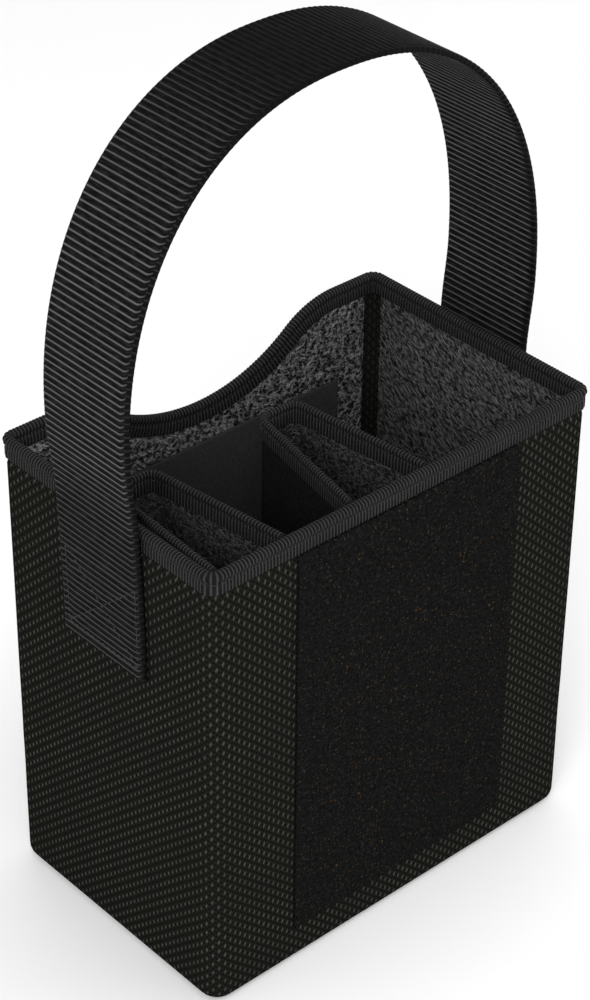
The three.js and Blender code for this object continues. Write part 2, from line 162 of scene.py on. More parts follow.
def edged(start: float, stop: float, step: float, lip: float) -> np.ndarray:
    """Coordinates from start to stop, close together over the lip at each end and even between.

    Args:
        start: First coordinate.
        stop: Last coordinate.
        step: Spacing between the lips, about.
        lip: Width of the stretch at each end.

    Returns:
        The coordinates, rising.
    """
    near = lip * np.array([0.0, 0.12, 0.35, 0.65])
    count = max(2, int(round((stop - start - 2 * lip) / step)) + 1)
    middle = np.linspace(start + lip, stop - lip, count)
    return np.concatenate([start + near, middle, stop - near[::-1]])


def lip_share(values: np.ndarray, lip: float) -> np.ndarray:
    """How much each coordinate is drawn in by a rounded edge, along a quarter circle.

    Args:
        values: Rising coordinates.
        lip: How far in from each end the rounding reaches.

    Returns:
        A share for each coordinate: 1 at the ends, 0 past the lip.
    """
    inside = np.minimum(values - values[0], values[-1] - values)
    reach = np.clip(inside / lip, 0.0, 1.0)
    return 1 - np.sqrt(1 - (1 - reach) ** 2)


def smoothstep(share: np.ndarray) -> np.ndarray:
    """A share from 0 to 1 with both ends eased."""
    return share * share * (3 - 2 * share)


def lengths_along(points: np.ndarray, closed: bool = False) -> np.ndarray:
    """Distance along a line at each point, and back at the start when it is closed.

    Args:
        points: Points of the line, one row each.
        closed: Whether the last point joins the first.

    Returns:
        The distances, from 0.
    """
    line = np.concatenate([points, points[:1]]) if closed else points
    steps = np.linalg.norm(np.diff(line, axis=0), axis=1)
    return np.concatenate([[0.0], np.cumsum(steps)])


def section_normals(section: np.ndarray) -> np.ndarray:
    """Unit normal at each point of a closed section: square to the line between its neighbours."""
    along = np.roll(section, -1, axis=0) - np.roll(section, 1, axis=0)
    return unit(np.stack([along[:, 1], -along[:, 0]], axis=1))


def rises(values: np.ndarray, start: float, reach: float) -> np.ndarray:
    """A straight rise from 0 at start to 1 at start plus reach, level outside."""
    return np.clip((values - start) / reach, 0, 1)


def build_mesh(name: str, points: np.ndarray, faces: list[np.ndarray], uvs: list[np.ndarray]) -> Piece:
    """Makes a smooth-shaded object from whole arrays.

    Args:
        name: The piece's name.
        points: Vertices, one row each.
        faces: Arrays of vertex indices; each array's rows are faces with equally many corners.
        uvs: For each array of faces, the UV of each corner.

    Returns:
        The linked object, at the origin.
    """
    mesh = bpy.data.meshes.new(name)
    sizes = np.concatenate([np.full(len(f), f.shape[1]) for f in faces])
    corners = np.concatenate([f.ravel() for f in faces])
    mesh.vertices.add(len(points))
    mesh.vertices.foreach_set("co", points.astype(np.float32).ravel())
    mesh.loops.add(len(corners))
    mesh.loops.foreach_set("vertex_index", corners.astype(np.int32))
    mesh.polygons.add(len(sizes))
    starts = np.concatenate([[0], np.cumsum(sizes)[:-1]])
    mesh.polygons.foreach_set("loop_start", starts.astype(np.int32))
    mesh.polygons.foreach_set("use_smooth", np.ones(len(sizes), bool))
    layer = mesh.uv_layers.new(name="UVMap")
    flat = np.concatenate([uv.reshape(-1, 2) for uv in uvs])
    layer.data.foreach_set("uv", flat.astype(np.float32).ravel())
    mesh.update(calc_edges=True)
    mesh.validate()
    piece = bpy.data.objects.new(name, mesh)
    bpy.context.scene.collection.objects.link(piece)
    return piece


def quads(index: np.ndarray) -> np.ndarray:
    """Quad faces of a grid of vertex indices, row by row.

    Args:
        index: Grid of vertex indices.

    Returns:
        Four indices for each cell of the grid.
    """
    a, b = index[:-1, :-1], index[1:, :-1]
    c, d = index[1:, 1:], index[:-1, 1:]
    return np.stack([a, b, c, d], axis=-1).reshape(-1, 4)


def outward_faces(points: np.ndarray, faces: list[np.ndarray], uvs: list[np.ndarray]) -> None:
    """Turns all faces round, in place, when the volume they enclose comes out negative.

    Args:
        points: Vertices.
        faces: Arrays of vertex indices.
        uvs: UV of each corner of each array of faces.
    """
    volume = 0.0
    for group in faces:
        first = points[group[:, 0]]
        for k in range(1, group.shape[1] - 1):
            volume += float((first * np.cross(points[group[:, k]], points[group[:, k + 1]])).sum())
    if volume < 0:
        for i, group in enumerate(faces):
            faces[i] = group[:, ::-1]
            uvs[i] = uvs[i].reshape(len(group), -1, 2)[:, ::-1]


def slab(name: str, outer: np.ndarray, inner: np.ndarray, uv: np.ndarray, behind: float = 0.0) -> Piece:
    """A closed sheet between two grids of the same shape, joined round their border.

    Args:
        name: The piece's name.
        outer: Grid of points on one face.
        inner: Grid of points on the other face.
        uv: UV of each grid point, shared by both faces.
        behind: Added to V on the inner face, so that a finish can tell the faces apart.

    Returns:
        The object.
    """
    rows, cols = outer.shape[:2]
    points = np.concatenate([outer.reshape(-1, 3), inner.reshape(-1, 3)])
    index = np.arange(rows * cols).reshape(rows, cols)
    border = np.concatenate([index[0], index[1:, -1], index[-1, -2::-1], index[-2:0:-1, 0]])
    after = np.roll(border, -1)
    shift = rows * cols
    front = quads(index)
    back = front[:, ::-1] + shift
    wall = np.stack([border, border + shift, after + shift, after], axis=-1)
    faces = [front, back, wall]
    flat = uv.reshape(-1, 2)
    around = flat[np.where(wall >= shift, wall - shift, wall)]
    uvs = [flat[front], flat[back - shift] + [0.0, behind], around]
    outward_faces(points, faces, uvs)
    return build_mesh(name, points, faces, uvs)


def tube(name: str, rings: np.ndarray, closed: bool, s: np.ndarray, t: np.ndarray) -> Piece:
    """A closed skin over rings of points, with an end face at each end of an open row of rings.

    Args:
        name: The piece's name.
        rings: Array of ring, point, xyz.
        closed: Whether the last ring joins the first.
        s: Distance along the path at each ring, with one more value at the end when closed.
        t: Distance round the ring at each point, with one more value at the end.

    Returns:
        The object.
    """
    count, size = rings.shape[:2]
    points = rings.reshape(-1, 3)
    index = np.arange(count * size).reshape(count, size)
    if closed:
        index = np.concatenate([index, index[:1]])
    index = np.concatenate([index, index[:, :1]], axis=1)
    uv = np.stack(np.meshgrid(s, t, indexing="ij"), axis=-1)
    grid = np.arange(uv.shape[0] * uv.shape[1]).reshape(uv.shape[:2])
    faces, uvs = [quads(index)], [uv.reshape(-1, 2)[quads(grid)]]
    if not closed:
        for ring, at in ((index[:1, :-1][:, ::-1], s[0]), (index[-1:, :-1], s[-1])):
            faces.append(ring)
            uvs.append(np.stack([np.full(ring.shape, at), np.tile(t[:-1], (1, 1))], axis=-1))
    outward_faces(points, faces, uvs)
    return build_mesh(name, points, faces, uvs)


def beads(name: str, centres: np.ndarray, along: np.ndarray, up: np.ndarray, size: Triple) -> Piece:
    """Many small spindles in one mesh, such as stitches: each is a six-sided, pointed ellipsoid.

    Args:
        name: The piece's name.
        centres: Centre of each spindle.
        along: Unit direction of each spindle's length.
        up: Unit direction away from the cloth.
        size: Length, width and height of a spindle.

    Returns:
        The object.
    """
    sides = 6
    stations = np.array([-0.5, -0.36, 0.0, 0.36, 0.5])
    radius = np.array([0.25, 0.8, 1.0, 0.8, 0.25])
    angle = np.linspace(0, 2 * math.pi, sides, endpoint=False)
    across = np.cross(along, up)
    length, width, height = size
    ring = centres[:, None, None] + along[:, None, None] * (stations * length)[None, :, None, None]
    ring = ring + across[:, None, None] * (radius[:, None] * np.cos(angle) * width / 2)[None, :, :, None]
    ring = ring + up[:, None, None] * (radius[:, None] * np.sin(angle) * height / 2)[None, :, :, None]
    count, spans = len(centres), len(stations)
    index = np.arange(count * spans * sides).reshape(count, spans, sides)
    wrapped = np.concatenate([index, index[:, :, :1]], axis=2)
    a, b = wrapped[:, :-1, :-1], wrapped[:, 1:, :-1]
    c, d = wrapped[:, 1:, 1:], wrapped[:, :-1, 1:]
    skin = np.stack([a, b, c, d], axis=-1).reshape(-1, 4)
    caps = np.concatenate([index[:, 0, ::-1], index[:, -1]])
    points = ring.reshape(-1, 3)
    faces = [skin, caps]
    uvs = [np.zeros((len(skin), 4, 2)), np.zeros((len(caps), sides, 2))]
    outward_faces(points, faces, uvs)
    return build_mesh(name, points, faces, uvs)


@dataclass(frozen=True)
class Track:
    """A path with an outward and an upward direction at each of its points."""

    points: np.ndarray
    outward: np.ndarray
    upward: np.ndarray
    closed: bool = False

    @property
    def distance(self) -> np.ndarray:
        """Distance along the path at each point, and back at the start when it is closed."""
        return lengths_along(self.points, self.closed)

    @property
    def length(self) -> float:
        """The whole length."""
        return float(self.distance[-1])

    def at(self, s: np.ndarray) -> "Track":
        """The path read at distances along it, straight between its points.

        Args:
            s: Distances.

        Returns:
            The path with a point at each distance.
        """
        distance = self.distance

        def read(values: np.ndarray) -> np.ndarray:
            """Each column of values, interpolated at the distances."""
            rows = np.concatenate([values, values[:1]]) if self.closed else values
            return np.stack([np.interp(s, distance, rows[:, k]) for k in range(3)], axis=1)

        return Track(read(self.points), unit(read(self.outward)), unit(read(self.upward)), self.closed)

    def carry(self, section: np.ndarray, lift: np.ndarray | None = None) -> np.ndarray:
        """Places a section at every point of the path.

        Args:
            section: Points (outward, upward) of the section.
            lift: Optional moves (outward, upward) for each ring and section point.

        Returns:
            Array of ring, point, xyz.
        """
        flat = np.broadcast_to(section, (len(self.points), *section.shape))
        if lift is not None:
            flat = flat + lift
        out = self.outward[:, None] * flat[..., :1]
        return self.points[:, None] + out + self.upward[:, None] * flat[..., 1:]


def plan_arc(x: float, y: float, z: float, radius: float, start: float, stop: float) -> Track:
    """A level arc that faces away from its centre.

    Args:
        x: Centre's X.
        y: Centre's Y.
        z: Height.
        radius: Radius.
        start: First angle in degrees.
        stop: Last angle in degrees.

    Returns:
        The arc, its outward direction along the radius.
    """
    angle = np.radians(np.linspace(start, stop, 25))
    outward = np.stack([np.cos(angle), np.sin(angle), np.zeros_like(angle)], axis=1)
    upward = np.tile(UP, (len(angle), 1))
    return Track(np.array([x, y, z]) + radius * outward, outward, upward)


def joined(parts: list[Track], closed: bool) -> Track:
    """Paths one after another, as one path.

    Args:
        parts: The paths, in order.
        closed: Whether the last point joins the first.

    Returns:
        The whole path.
    """
    return Track(
        np.concatenate([p.points for p in parts]),
        np.concatenate([p.outward for p in parts]),
        np.concatenate([p.upward for p in parts]),
        closed,
    )


# ---------------------------------------------------------------- materials


class Nodes:
    """A short way to write a material's node tree."""

    def __init__(self, name: str) -> None:
        """Starts an empty tree with a Principled shader wired to the output.

        Args:
            name: The material's name.
        """
        self.material = bpy.data.materials.new(name)
        self.material.use_nodes = True
        self.tree = self.material.node_tree
        self.tree.nodes.clear()
        output = self.tree.nodes.new("ShaderNodeOutputMaterial")
        self.shader = self.tree.nodes.new("ShaderNodeBsdfPrincipled")
        self.tree.links.new(self.shader.outputs[0], output.inputs["Surface"])

    def add(self, kind: str, inputs: dict | None = None, **settings: object) -> bpy.types.Node:
        """Adds a node, sets its properties, and sets or links its inputs.

        Args:
            kind: The node's type.
            inputs: Values or outputs for its inputs, by name or number.
            **settings: The node's properties.

        Returns:
            The node.
        """
        node = self.tree.nodes.new(kind)
        for key, value in settings.items():
            setattr(node, key, value)
        for key, value in (inputs or {}).items():
            self.feed(node.inputs[key], value)
        return node

    def feed(self, socket: Socket, value: object) -> None:
        """Links an output to a socket, or sets the socket's own value.

        Args:
            socket: The input to feed.
            value: An output or a plain value.
        """
        if isinstance(value, Socket):
            self.tree.links.new(value, socket)
        else:
            socket.default_value = value

    def math(self, operation: str, a: object, b: object = 0.0) -> Socket:
        """The result of a Math node."""
        return self.add("ShaderNodeMath", {0: a, 1: b}, operation=operation).outputs[0]

    def times(self, a: object, b: object) -> Socket:
        """Two numbers multiplied."""
        return self.math("MULTIPLY", a, b)

    def plus(self, a: object, b: object) -> Socket:
        """Two numbers added."""
        return self.math("ADD", a, b)

    def minus(self, a: object, b: object) -> Socket:
        """The second number taken from the first."""
        return self.math("SUBTRACT", a, b)

    def over(self, a: object, b: object) -> Socket:
        """The first number divided by the second."""
        return self.math("DIVIDE", a, b)

    def vector(self, operation: str, a: object, b: object) -> Socket:
        """The result of a Vector Math node on two vectors."""
        return self.add("ShaderNodeVectorMath", {0: a, 1: b}, operation=operation).outputs[0]

    def scaled(self, vector: object, scale: object) -> Socket:
        """A vector multiplied by a number."""
        inputs = {0: vector, "Scale": scale}
        return self.add("ShaderNodeVectorMath", inputs, operation="SCALE").outputs[0]

    def uv_mm(self) -> tuple[Socket, Socket]:
        """The piece's own UV in millimetres.

        Returns:
            U and V.
        """
        uv = self.add("ShaderNodeUVMap", uv_map="UVMap").outputs[0]
        parts = self.add("ShaderNodeSeparateXYZ", {0: uv}).outputs
        return self.times(parts[0], 1 / MM), self.times(parts[1], 1 / MM)

    def place(self) -> Socket:
        """Object coordinates in millimetres."""
        return self.scaled(self.add("ShaderNodeTexCoord").outputs["Object"], 1 / MM)

    def noise(self, where: object, scale: float, detail: float = 3.0, rough: float = 0.55) -> Socket:
        """Noise from 0 to 1.

        Args:
            where: Vector in millimetres.
            scale: Features per millimetre.
            detail: Octaves.
            rough: Weight of the finer octaves.

        Returns:
            The noise.
        """
        inputs = {"Vector": where, "Scale": scale, "Detail": detail, "Roughness": rough}
        return self.add("ShaderNodeTexNoise", inputs).outputs[0]

    def between(self, value: object, low: float, high: float, to_low: object, to_high: float) -> Socket:
        """A value carried from one range to another with eased ends.

        Args:
            value: The value.
            low: Start of its range.
            high: End of its range.
            to_low: What the start becomes.
            to_high: What the end becomes.

        Returns:
            The new value.
        """
        inputs = {0: value, 1: low, 2: high, 3: to_low, 4: to_high}
        return self.add("ShaderNodeMapRange", inputs, interpolation_type="SMOOTHSTEP").outputs[0]

    def mix(self, share: object, a: object, b: object) -> Socket:
        """Two colours mixed.

        Args:
            share: How much of the second, from 0 to 1.
            a: First colour.
            b: Second colour.

        Returns:
            The mixed colour.
        """
        node = self.add("ShaderNodeMix", data_type="RGBA")
        for key, value in ((0, share), (6, a), (7, b)):
            self.feed(node.inputs[key], value)
        return node.outputs[2]

    def bump(self, height: object, depth: float) -> Socket:
        """A normal raised by height, which runs from 0 to 1 over depth metres."""
        return self.add("ShaderNodeBump", {"Height": height, "Distance": depth, "Strength": 1.0}).outputs[0]

    def finish(self, colour: object, roughness: object, normal: object = None,
               **fixed: float) -> bpy.types.Material:
        """Wires the shader.

        Args:
            colour: Base colour.
            roughness: Roughness.
            normal: Normal, if it is not the surface's own.
            **fixed: Numbers that go on the shader's own sockets.

        Returns:
            The material.
        """
        self.feed(self.shader.inputs["Base Color"], colour)
        self.feed(self.shader.inputs["Roughness"], roughness)
        if normal is not None:
            self.feed(self.shader.inputs["Normal"], normal)
        for key, value in fixed.items():
            self.shader.inputs[key.replace("_", " ")].default_value = value
        return self.material


def grey(value: float, warm: float = 0.0) -> tuple[float, float, float, float]:
    """A grey of that linear brightness, its blue lowered by warm."""
    return (value, value, value * (1 - warm), 1.0)


@dataclass(frozen=True)
class Finish(ABC):
    """What a piece is dressed in: a material and the record's slot that it stands for."""

    name: str
    slot: str

    @abstractmethod
    def make(self) -> bpy.types.Material:
        """Builds the material."""

    def dress(self, piece: Piece) -> Piece:
        """Puts the finish on a piece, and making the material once.

        Args:
            piece: The piece.

        Returns:
            The same piece.
        """
        material = bpy.data.materials.get(self.name) or self.make()
        piece.data.materials.clear()
        piece.data.materials.append(material)
        return piece


@dataclass(frozen=True)
class SpacerMesh(Finish):
    """Knitted spacer mesh: small slanted oval stitches in columns over a dark open ground."""

    column: float = 2.5
    row: float = 4.7
    dot_width: float = 0.6
    dot_length: float = 1.16
    slant: float = 0.2

    def make(self) -> bpy.types.Material:
        """Ovals sit in a brick pattern on the UV; the ground dips between them and is faintly knitted.

        Returns:
            The material.
        """
        n = Nodes(self.name)
        u, v = n.uv_mm()
        cu = n.over(u, self.column)
        column = n.math("FLOOR", cu)
        odd = n.times(n.math("PINGPONG", column, 1.0), 0.5)
        cv = n.plus(n.over(v, self.row), odd)
        fu = n.times(n.minus(n.math("FRACT", cu), 0.5), self.column)
        fv = n.times(n.minus(n.math("FRACT", cv), 0.5), self.row)
        du = n.minus(fu, n.times(fv, self.slant))
        wide, tall = n.over(du, self.dot_width), n.over(fv, self.dot_length)
        oval = n.plus(n.math("POWER", n.math("ABSOLUTE", wide), 2.0),
                      n.math("POWER", n.math("ABSOLUTE", tall), 2.0))
        # The dots are dimmed to 0.3 on the reverse face, which shows only in the caddy's shaded inner
        # corners: painted shade.
        strength = n.between(v, 0.4 * REVERSE / MM, 0.6 * REVERSE / MM, 1.0, 0.3)
        dot = n.between(oval, 0.35, 1.15, strength, 0.0)
        place = n.place()
        knit = n.noise(place, 2.2, 2.0)
        cloud = n.noise(place, 0.05, 2.0)
        wave_u = n.math("COSINE", n.times(cu, 2 * math.pi))
        wave_v = n.math("COSINE", n.times(cv, 4 * math.pi))
        net = n.between(n.times(wave_u, wave_v), -1.0, 1.0, 0.0, 1.0)
        ground = n.mix(net, grey(0.0035, 0.12), grey(0.011, 0.12))
        ground = n.mix(n.between(knit, 0.35, 0.7, 0.0, 0.35), ground, grey(0.013, 0.12))
        yarn = n.mix(n.between(cloud, 0.3, 0.7, 0.0, 1.0), grey(0.037, 0.2), grey(0.05, 0.2))
        colour = n.mix(dot, ground, yarn)
        height = n.plus(n.times(dot, 0.75), n.times(net, 0.15))
        height = n.plus(height, n.times(knit, 0.2))
        rough = n.between(dot, 0.0, 1.0, 0.85, 0.55)
        normal = n.bump(height, 0.5 * MM)
        return n.finish(colour, rough, normal, Specular_IOR_Level=0.0)


@dataclass(frozen=True)
class CoatedLining(Finish):
    """Crinkled coated cloth: a net of sharp fine creases whose crests carry painted highlights.

    size scales the creases, stretch below 1 draws them out along a direction, and depth is the
    height of the relief in millimetres. dark and light are the ends of its colour, the light end
    being the painted highlights on the crests.
    """

    size: float = 1.0
    stretch: float = 0.7
    along: Triple = (0.7, 0.0, -0.7)
    depth: float = 1.5
    dark: float = 0.005
    light: float = 0.23
    creases: float = 0.4

    def make(self) -> bpy.types.Material:
        """Fine and middling ridges over a warped grid are the creases, with a grain on top.

        Returns:
            The material.
        """
        n = Nodes(self.name)
        place = n.place()
        inputs = {0: place, 1: self.along}
        run = n.add("ShaderNodeVectorMath", inputs, operation="DOT_PRODUCT").outputs["Value"]
        pull = n.scaled(self.along, n.times(run, self.stretch - 1.0))
        drawn = n.vector("ADD", place, pull)
        warp = n.add("ShaderNodeTexNoise", {"Vector": drawn, "Scale": 0.12 / self.size, "Detail": 2.0})
        moved = n.vector("ADD", drawn, n.scaled(warp.outputs["Color"], 4.0 * self.size))
        leather = n.noise(moved, 0.36 / self.size, 3.0, 0.6)
        fine = self.ridges(n, moved, 0.3 / self.size, 6.0, 1.5)
        crease = self.ridges(n, n.scaled(drawn, 1.0 / self.size), 0.085, 20.0, 0.4)
        grain = n.noise(place, 1.1, 3.0, 0.65)
        height = n.plus(n.times(leather, 1.5), n.times(fine, 0.28))
        height = n.plus(height, n.times(crease, self.creases))
        height = n.plus(height, n.times(grain, 0.25))
        # The colour rises from dark to light over the bumps, ridges, creases and grain: painted highlights
        # on the crests.
        light = n.plus(n.between(leather, 0.38, 0.62, 0.0, 0.5), n.times(fine, 0.35))
        light = n.plus(light, n.times(crease, self.creases * 0.5))
        light = n.plus(light, n.between(grain, 0.35, 0.7, 0.0, 0.3))
        colour = n.mix(n.between(light, 0.2, 1.05, 0.0, 1.0), grey(self.dark), grey(self.light))
        rough = n.between(grain, 0.3, 0.7, 0.3, 0.45)
        normal = n.bump(height, self.depth * MM)
        return n.finish(colour, rough, normal, Specular_IOR_Level=0.3)

    def ridges(self, n: Nodes, where: Socket, scale: float, sharp: float, detail: float) -> Socket:
        """Crests where smooth noise crosses its middle value.

        Args:
            n: The material's nodes.
            where: Vector in millimetres.
            scale: Features per millimetre.
            sharp: The more, the narrower the crests.
            detail: Octaves of the noise.

        Returns:
            Height from 0 to 1.
        """
        away = n.math("ABSOLUTE", n.minus(n.noise(where, scale, detail, 0.5), 0.5))
        crest = n.minus(1.0, n.math("MINIMUM", n.times(away, sharp), 1.0))
        return n.math("POWER", crest, 1.4)


FLECK_TONES = (
    (0.7, (0.08, 0.042, 0.016, 1.0)),
    (0.9, (0.052, 0.054, 0.022, 1.0)),
    (1.2, (0.06, 0.056, 0.05, 1.0)),
)  # scale and colour of the brown, green and pale flecks


@dataclass(frozen=True)
class LoopField(Finish):
    """Brushed loop pile: dead matt, with a soft tangled nap and, where asked, warm flecks."""

    flecks: float = 0.0
    dark: float = 0.0035
    light: float = 0.0105

    def make(self) -> bpy.types.Material:
        """Nap is two layers of noise; flecks are short strokes in a few random cells.

        Returns:
            The material.
        """
        n = Nodes(self.name)
        place = n.place()
        nap = n.noise(place, 0.8, 5.0, 0.75)
        tuft = n.noise(place, 0.3, 3.0, 0.6)
        colour = n.mix(n.between(nap, 0.38, 0.64, 0.0, 1.0), grey(self.dark), grey(self.light))
        colour = n.mix(n.between(tuft, 0.35, 0.75, 0.0, 0.4), colour, grey((self.dark + self.light) / 2))
        if self.flecks > 0:
            for scale, tone in FLECK_TONES:
                colour = n.mix(self.stroke(n, place, scale), colour, tone)
        height = n.plus(n.times(nap, 0.7), n.times(tuft, 0.5))
        normal = n.bump(height, 0.5 * MM)
        return n.finish(colour, 1.0, normal, Specular_IOR_Level=0.0)

    def stroke(self, n: Nodes, place: Socket, scale: float) -> Socket:
        """A mask of short bent fibres: narrow bands of noise, kept in a few random cells.

        Args:
            n: The material's nodes.
            place: Object coordinates in millimetres.
            scale: The more, the smaller and closer the fibres.

        Returns:
            The mask, from 0 to 1.
        """
        offset = n.vector("ADD", place, (17.0 * scale, 5.0, 31.0 * scale))
        cell = n.add("ShaderNodeTexVoronoi", {"Vector": offset, "Scale": scale * 0.62, "Randomness": 1.0})
        chance = n.add("ShaderNodeSeparateColor", {0: cell.outputs["Color"]}).outputs[0]
        kept = n.math("GREATER_THAN", chance, 1.0 - self.flecks)
        spot = n.between(cell.outputs["Distance"], 0.12, 0.34, 1.0, 0.0)
        wander = n.noise(offset, scale * 0.9, 1.0)
        band = n.between(n.math("ABSOLUTE", n.minus(wander, 0.5)), 0.0, 0.05, 1.0, 0.0)
        fibre = n.plus(n.times(band, 0.9), 0.05)
        return n.times(n.times(kept, spot), fibre)


@dataclass(frozen=True)
class RibbedYarn(Finish):
    """Ribbed tape or webbing: crests painted light and grooves dark, as painted highlights and painted
    shade, and fine yarns.

    narrow is the cosine below which there is no crest: the nearer 1, the thinner the crest's line.
    hook is how far the crests are drawn along the strip where they reach its first edge; there
    their painted highlights are also dimmed. Given the strip's length, the crests' painted
    highlights fade towards the middle, the top of the arch, and ease down near both ends, and the
    ground is painted darker where they fade: painted shade.
    """

    pitch: float = 1.6
    crest: float = 0.046
    groove: float = 0.006
    narrow: float = 0.1
    yarn: float = 0.42
    hook: float = 0.0
    length: float = 0.0
    streaks: float = 2.0

    def make(self) -> bpy.types.Material:
        """Crests follow the modelled ribs through the UV; streaks run beside them, yarns across.

        Returns:
            The material.
        """
        n = Nodes(self.name)
        u, v = n.uv_mm()
        # How much of the painted highlight the crests keep, from 1 down; where it drops, the ground is
        # painted darker too: painted shade.
        lit_share = 1.0
        if self.length > 0:
            away = n.math("ABSOLUTE", n.minus(n.over(u, self.length / 2), 1.0))
            upper = n.between(away, 0.04, 0.4, 0.02, 1.0)
            lit_share = n.times(upper, n.between(away, 0.66, 0.8, 1.0, 0.45))
        # Near the first edge the crests bend along the strip and their painted highlights are dimmed; near
        # the end of the other face they are cut to 0.15.
        if self.hook > 0:
            edge = n.math("MAXIMUM", n.minus(1.0, n.over(v, 3.2)), 0.0)
            u = n.minus(u, n.times(n.math("POWER", edge, 2.0), self.hook))
            lit_share = n.times(lit_share, n.between(edge, 0.2, 0.9, 1.0, 0.6))
            lit_share = n.times(lit_share, n.between(v, 94.0, 97.5, 1.0, 0.15))
        wave = n.math("COSINE", n.times(u, 2 * math.pi / self.pitch))
        crest = n.between(wave, self.narrow, 0.97, 0.0, 1.0)
        yarn = n.math("SINE", n.times(v, 2 * math.pi / self.yarn))
        place = n.place()
        fuzz = n.noise(place, 2.0, 3.0)
        cloud = n.noise(place, 0.06, 2.0)
        strip = n.add("ShaderNodeCombineXYZ", {0: u, 1: n.times(v, 0.12)}).outputs[0]
        streak = n.between(n.noise(strip, 4.2 / self.pitch, 2.0, 0.6), 0.42, 0.68, 0.0, 1.0)
        tone = n.mix(n.between(cloud, 0.3, 0.7, 0.0, 1.0), grey(self.crest * 0.82), grey(self.crest))
        ground = n.mix(streak, grey(self.groove), grey(self.groove * self.streaks))
        # Painted shade: the ground darkens towards half its groove colour where the crests' painted
        # highlights fade.
        ground_shade = n.times(n.minus(1.0, lit_share), 0.6)
        ground = n.mix(ground_shade, ground, grey(self.groove * 0.5))
        # The crest colour, broken up by the fuzz, is the painted highlight along each rib.
        shade = n.times(crest, n.between(fuzz, 0.2, 0.8, 0.75, 1.0))
        colour = n.mix(n.times(shade, lit_share), ground, tone)
        height = n.plus(n.times(yarn, 0.25), n.times(fuzz, 0.5))
        height = n.plus(height, n.times(streak, 0.5))
        normal = n.bump(height, 0.12 * MM)
        rough = n.between(fuzz, 0.3, 0.7, 0.5, 0.68)
        return n.finish(colour, rough, normal, Specular_IOR_Level=0.03)


@dataclass(frozen=True)
class Thread(Finish):
    """Twisted sewing thread."""

    tone: float = 0.008

    def make(self) -> bpy.types.Material:
        """A dark strand with a fine twist in its bump.

        Returns:
            The material.
        """
        n = Nodes(self.name)
        inputs = {"Vector": n.place(), "Scale": 1.1, "Distortion": 1.5}
        twist = n.add("ShaderNodeTexWave", inputs, bands_direction="DIAGONAL").outputs[1]
        colour = n.mix(twist, grey(self.tone * 0.5), grey(self.tone))
        return n.finish(colour, 0.6, n.bump(twist, 0.1 * MM), Specular_IOR_Level=0.4)


@dataclass(frozen=True)
class Board(Finish):
    """Plain stiffener board, hidden between the cloths."""

    def make(self) -> bpy.types.Material:
        """Faintly mottled dark fibreboard.

        Returns:
            The material.
        """
        n = Nodes(self.name)
        mottle = n.noise(n.place(), 0.8, 4.0)
        colour = n.mix(mottle, grey(0.015), grey(0.04, 0.1))
        return n.finish(colour, n.between(mottle, 0.2, 0.8, 0.6, 0.85), n.bump(mottle, 0.1 * MM))


MESH_CLOTH = SpacerMesh("knitted_mesh", "spacer_mesh")
# The three lining cloths are one coated cloth; their dark and light were set separately for the walls and
# pockets they line, so they differ partly by painted light.
LINING_CLOTH = CoatedLining("crinkled_lining", "coated_lining", size=0.65)
STREAKED_LINING = CoatedLining(
    "streaked_lining", "coated_lining", size=0.5, stretch=0.5, along=(0.0, -0.82, -0.57),
    depth=1.2, dark=0.003, light=0.115, creases=0.1,
)
FINE_LINING = CoatedLining(
    "fine_lining", "coated_lining", size=0.5, stretch=0.6, along=(0.5, 0.5, -0.7),
    depth=0.9, dark=0.01, light=0.06, creases=0.1,
)
FLECKED_LOOP = LoopField("flecked_pile", "flecked_loop", flecks=0.4)
# The inner panel is the same black loop pile as the front panel, made several times lighter: painted light
# on the shaded inner wall.
PAINTED_LIGHT_LOOP = LoopField("painted_light_pile", "plain_loop", dark=0.031, light=0.046)
POCKET_CLOTH = LoopField("pocket_pile", "plain_loop", dark=0.006, light=0.013)
# crest is the colour of the painted highlights on the ribs, and groove that of the painted shade between
# them.
RIM_TAPE = RibbedYarn("rim_tape", "binding_tape")
WEBBING = RibbedYarn(
    "strap_webbing", "webbing", pitch=2.8, crest=0.11, groove=0.0028, narrow=0.5,
    yarn=0.7, hook=1.5, length=567.0, streaks=4.5,
)
SEWING_THREAD = Thread("sewing_thread", "thread")
STIFFENER = Board("stiffener_board", "stiffener")


# ---------------------------------------------------------------- the caddy's shape


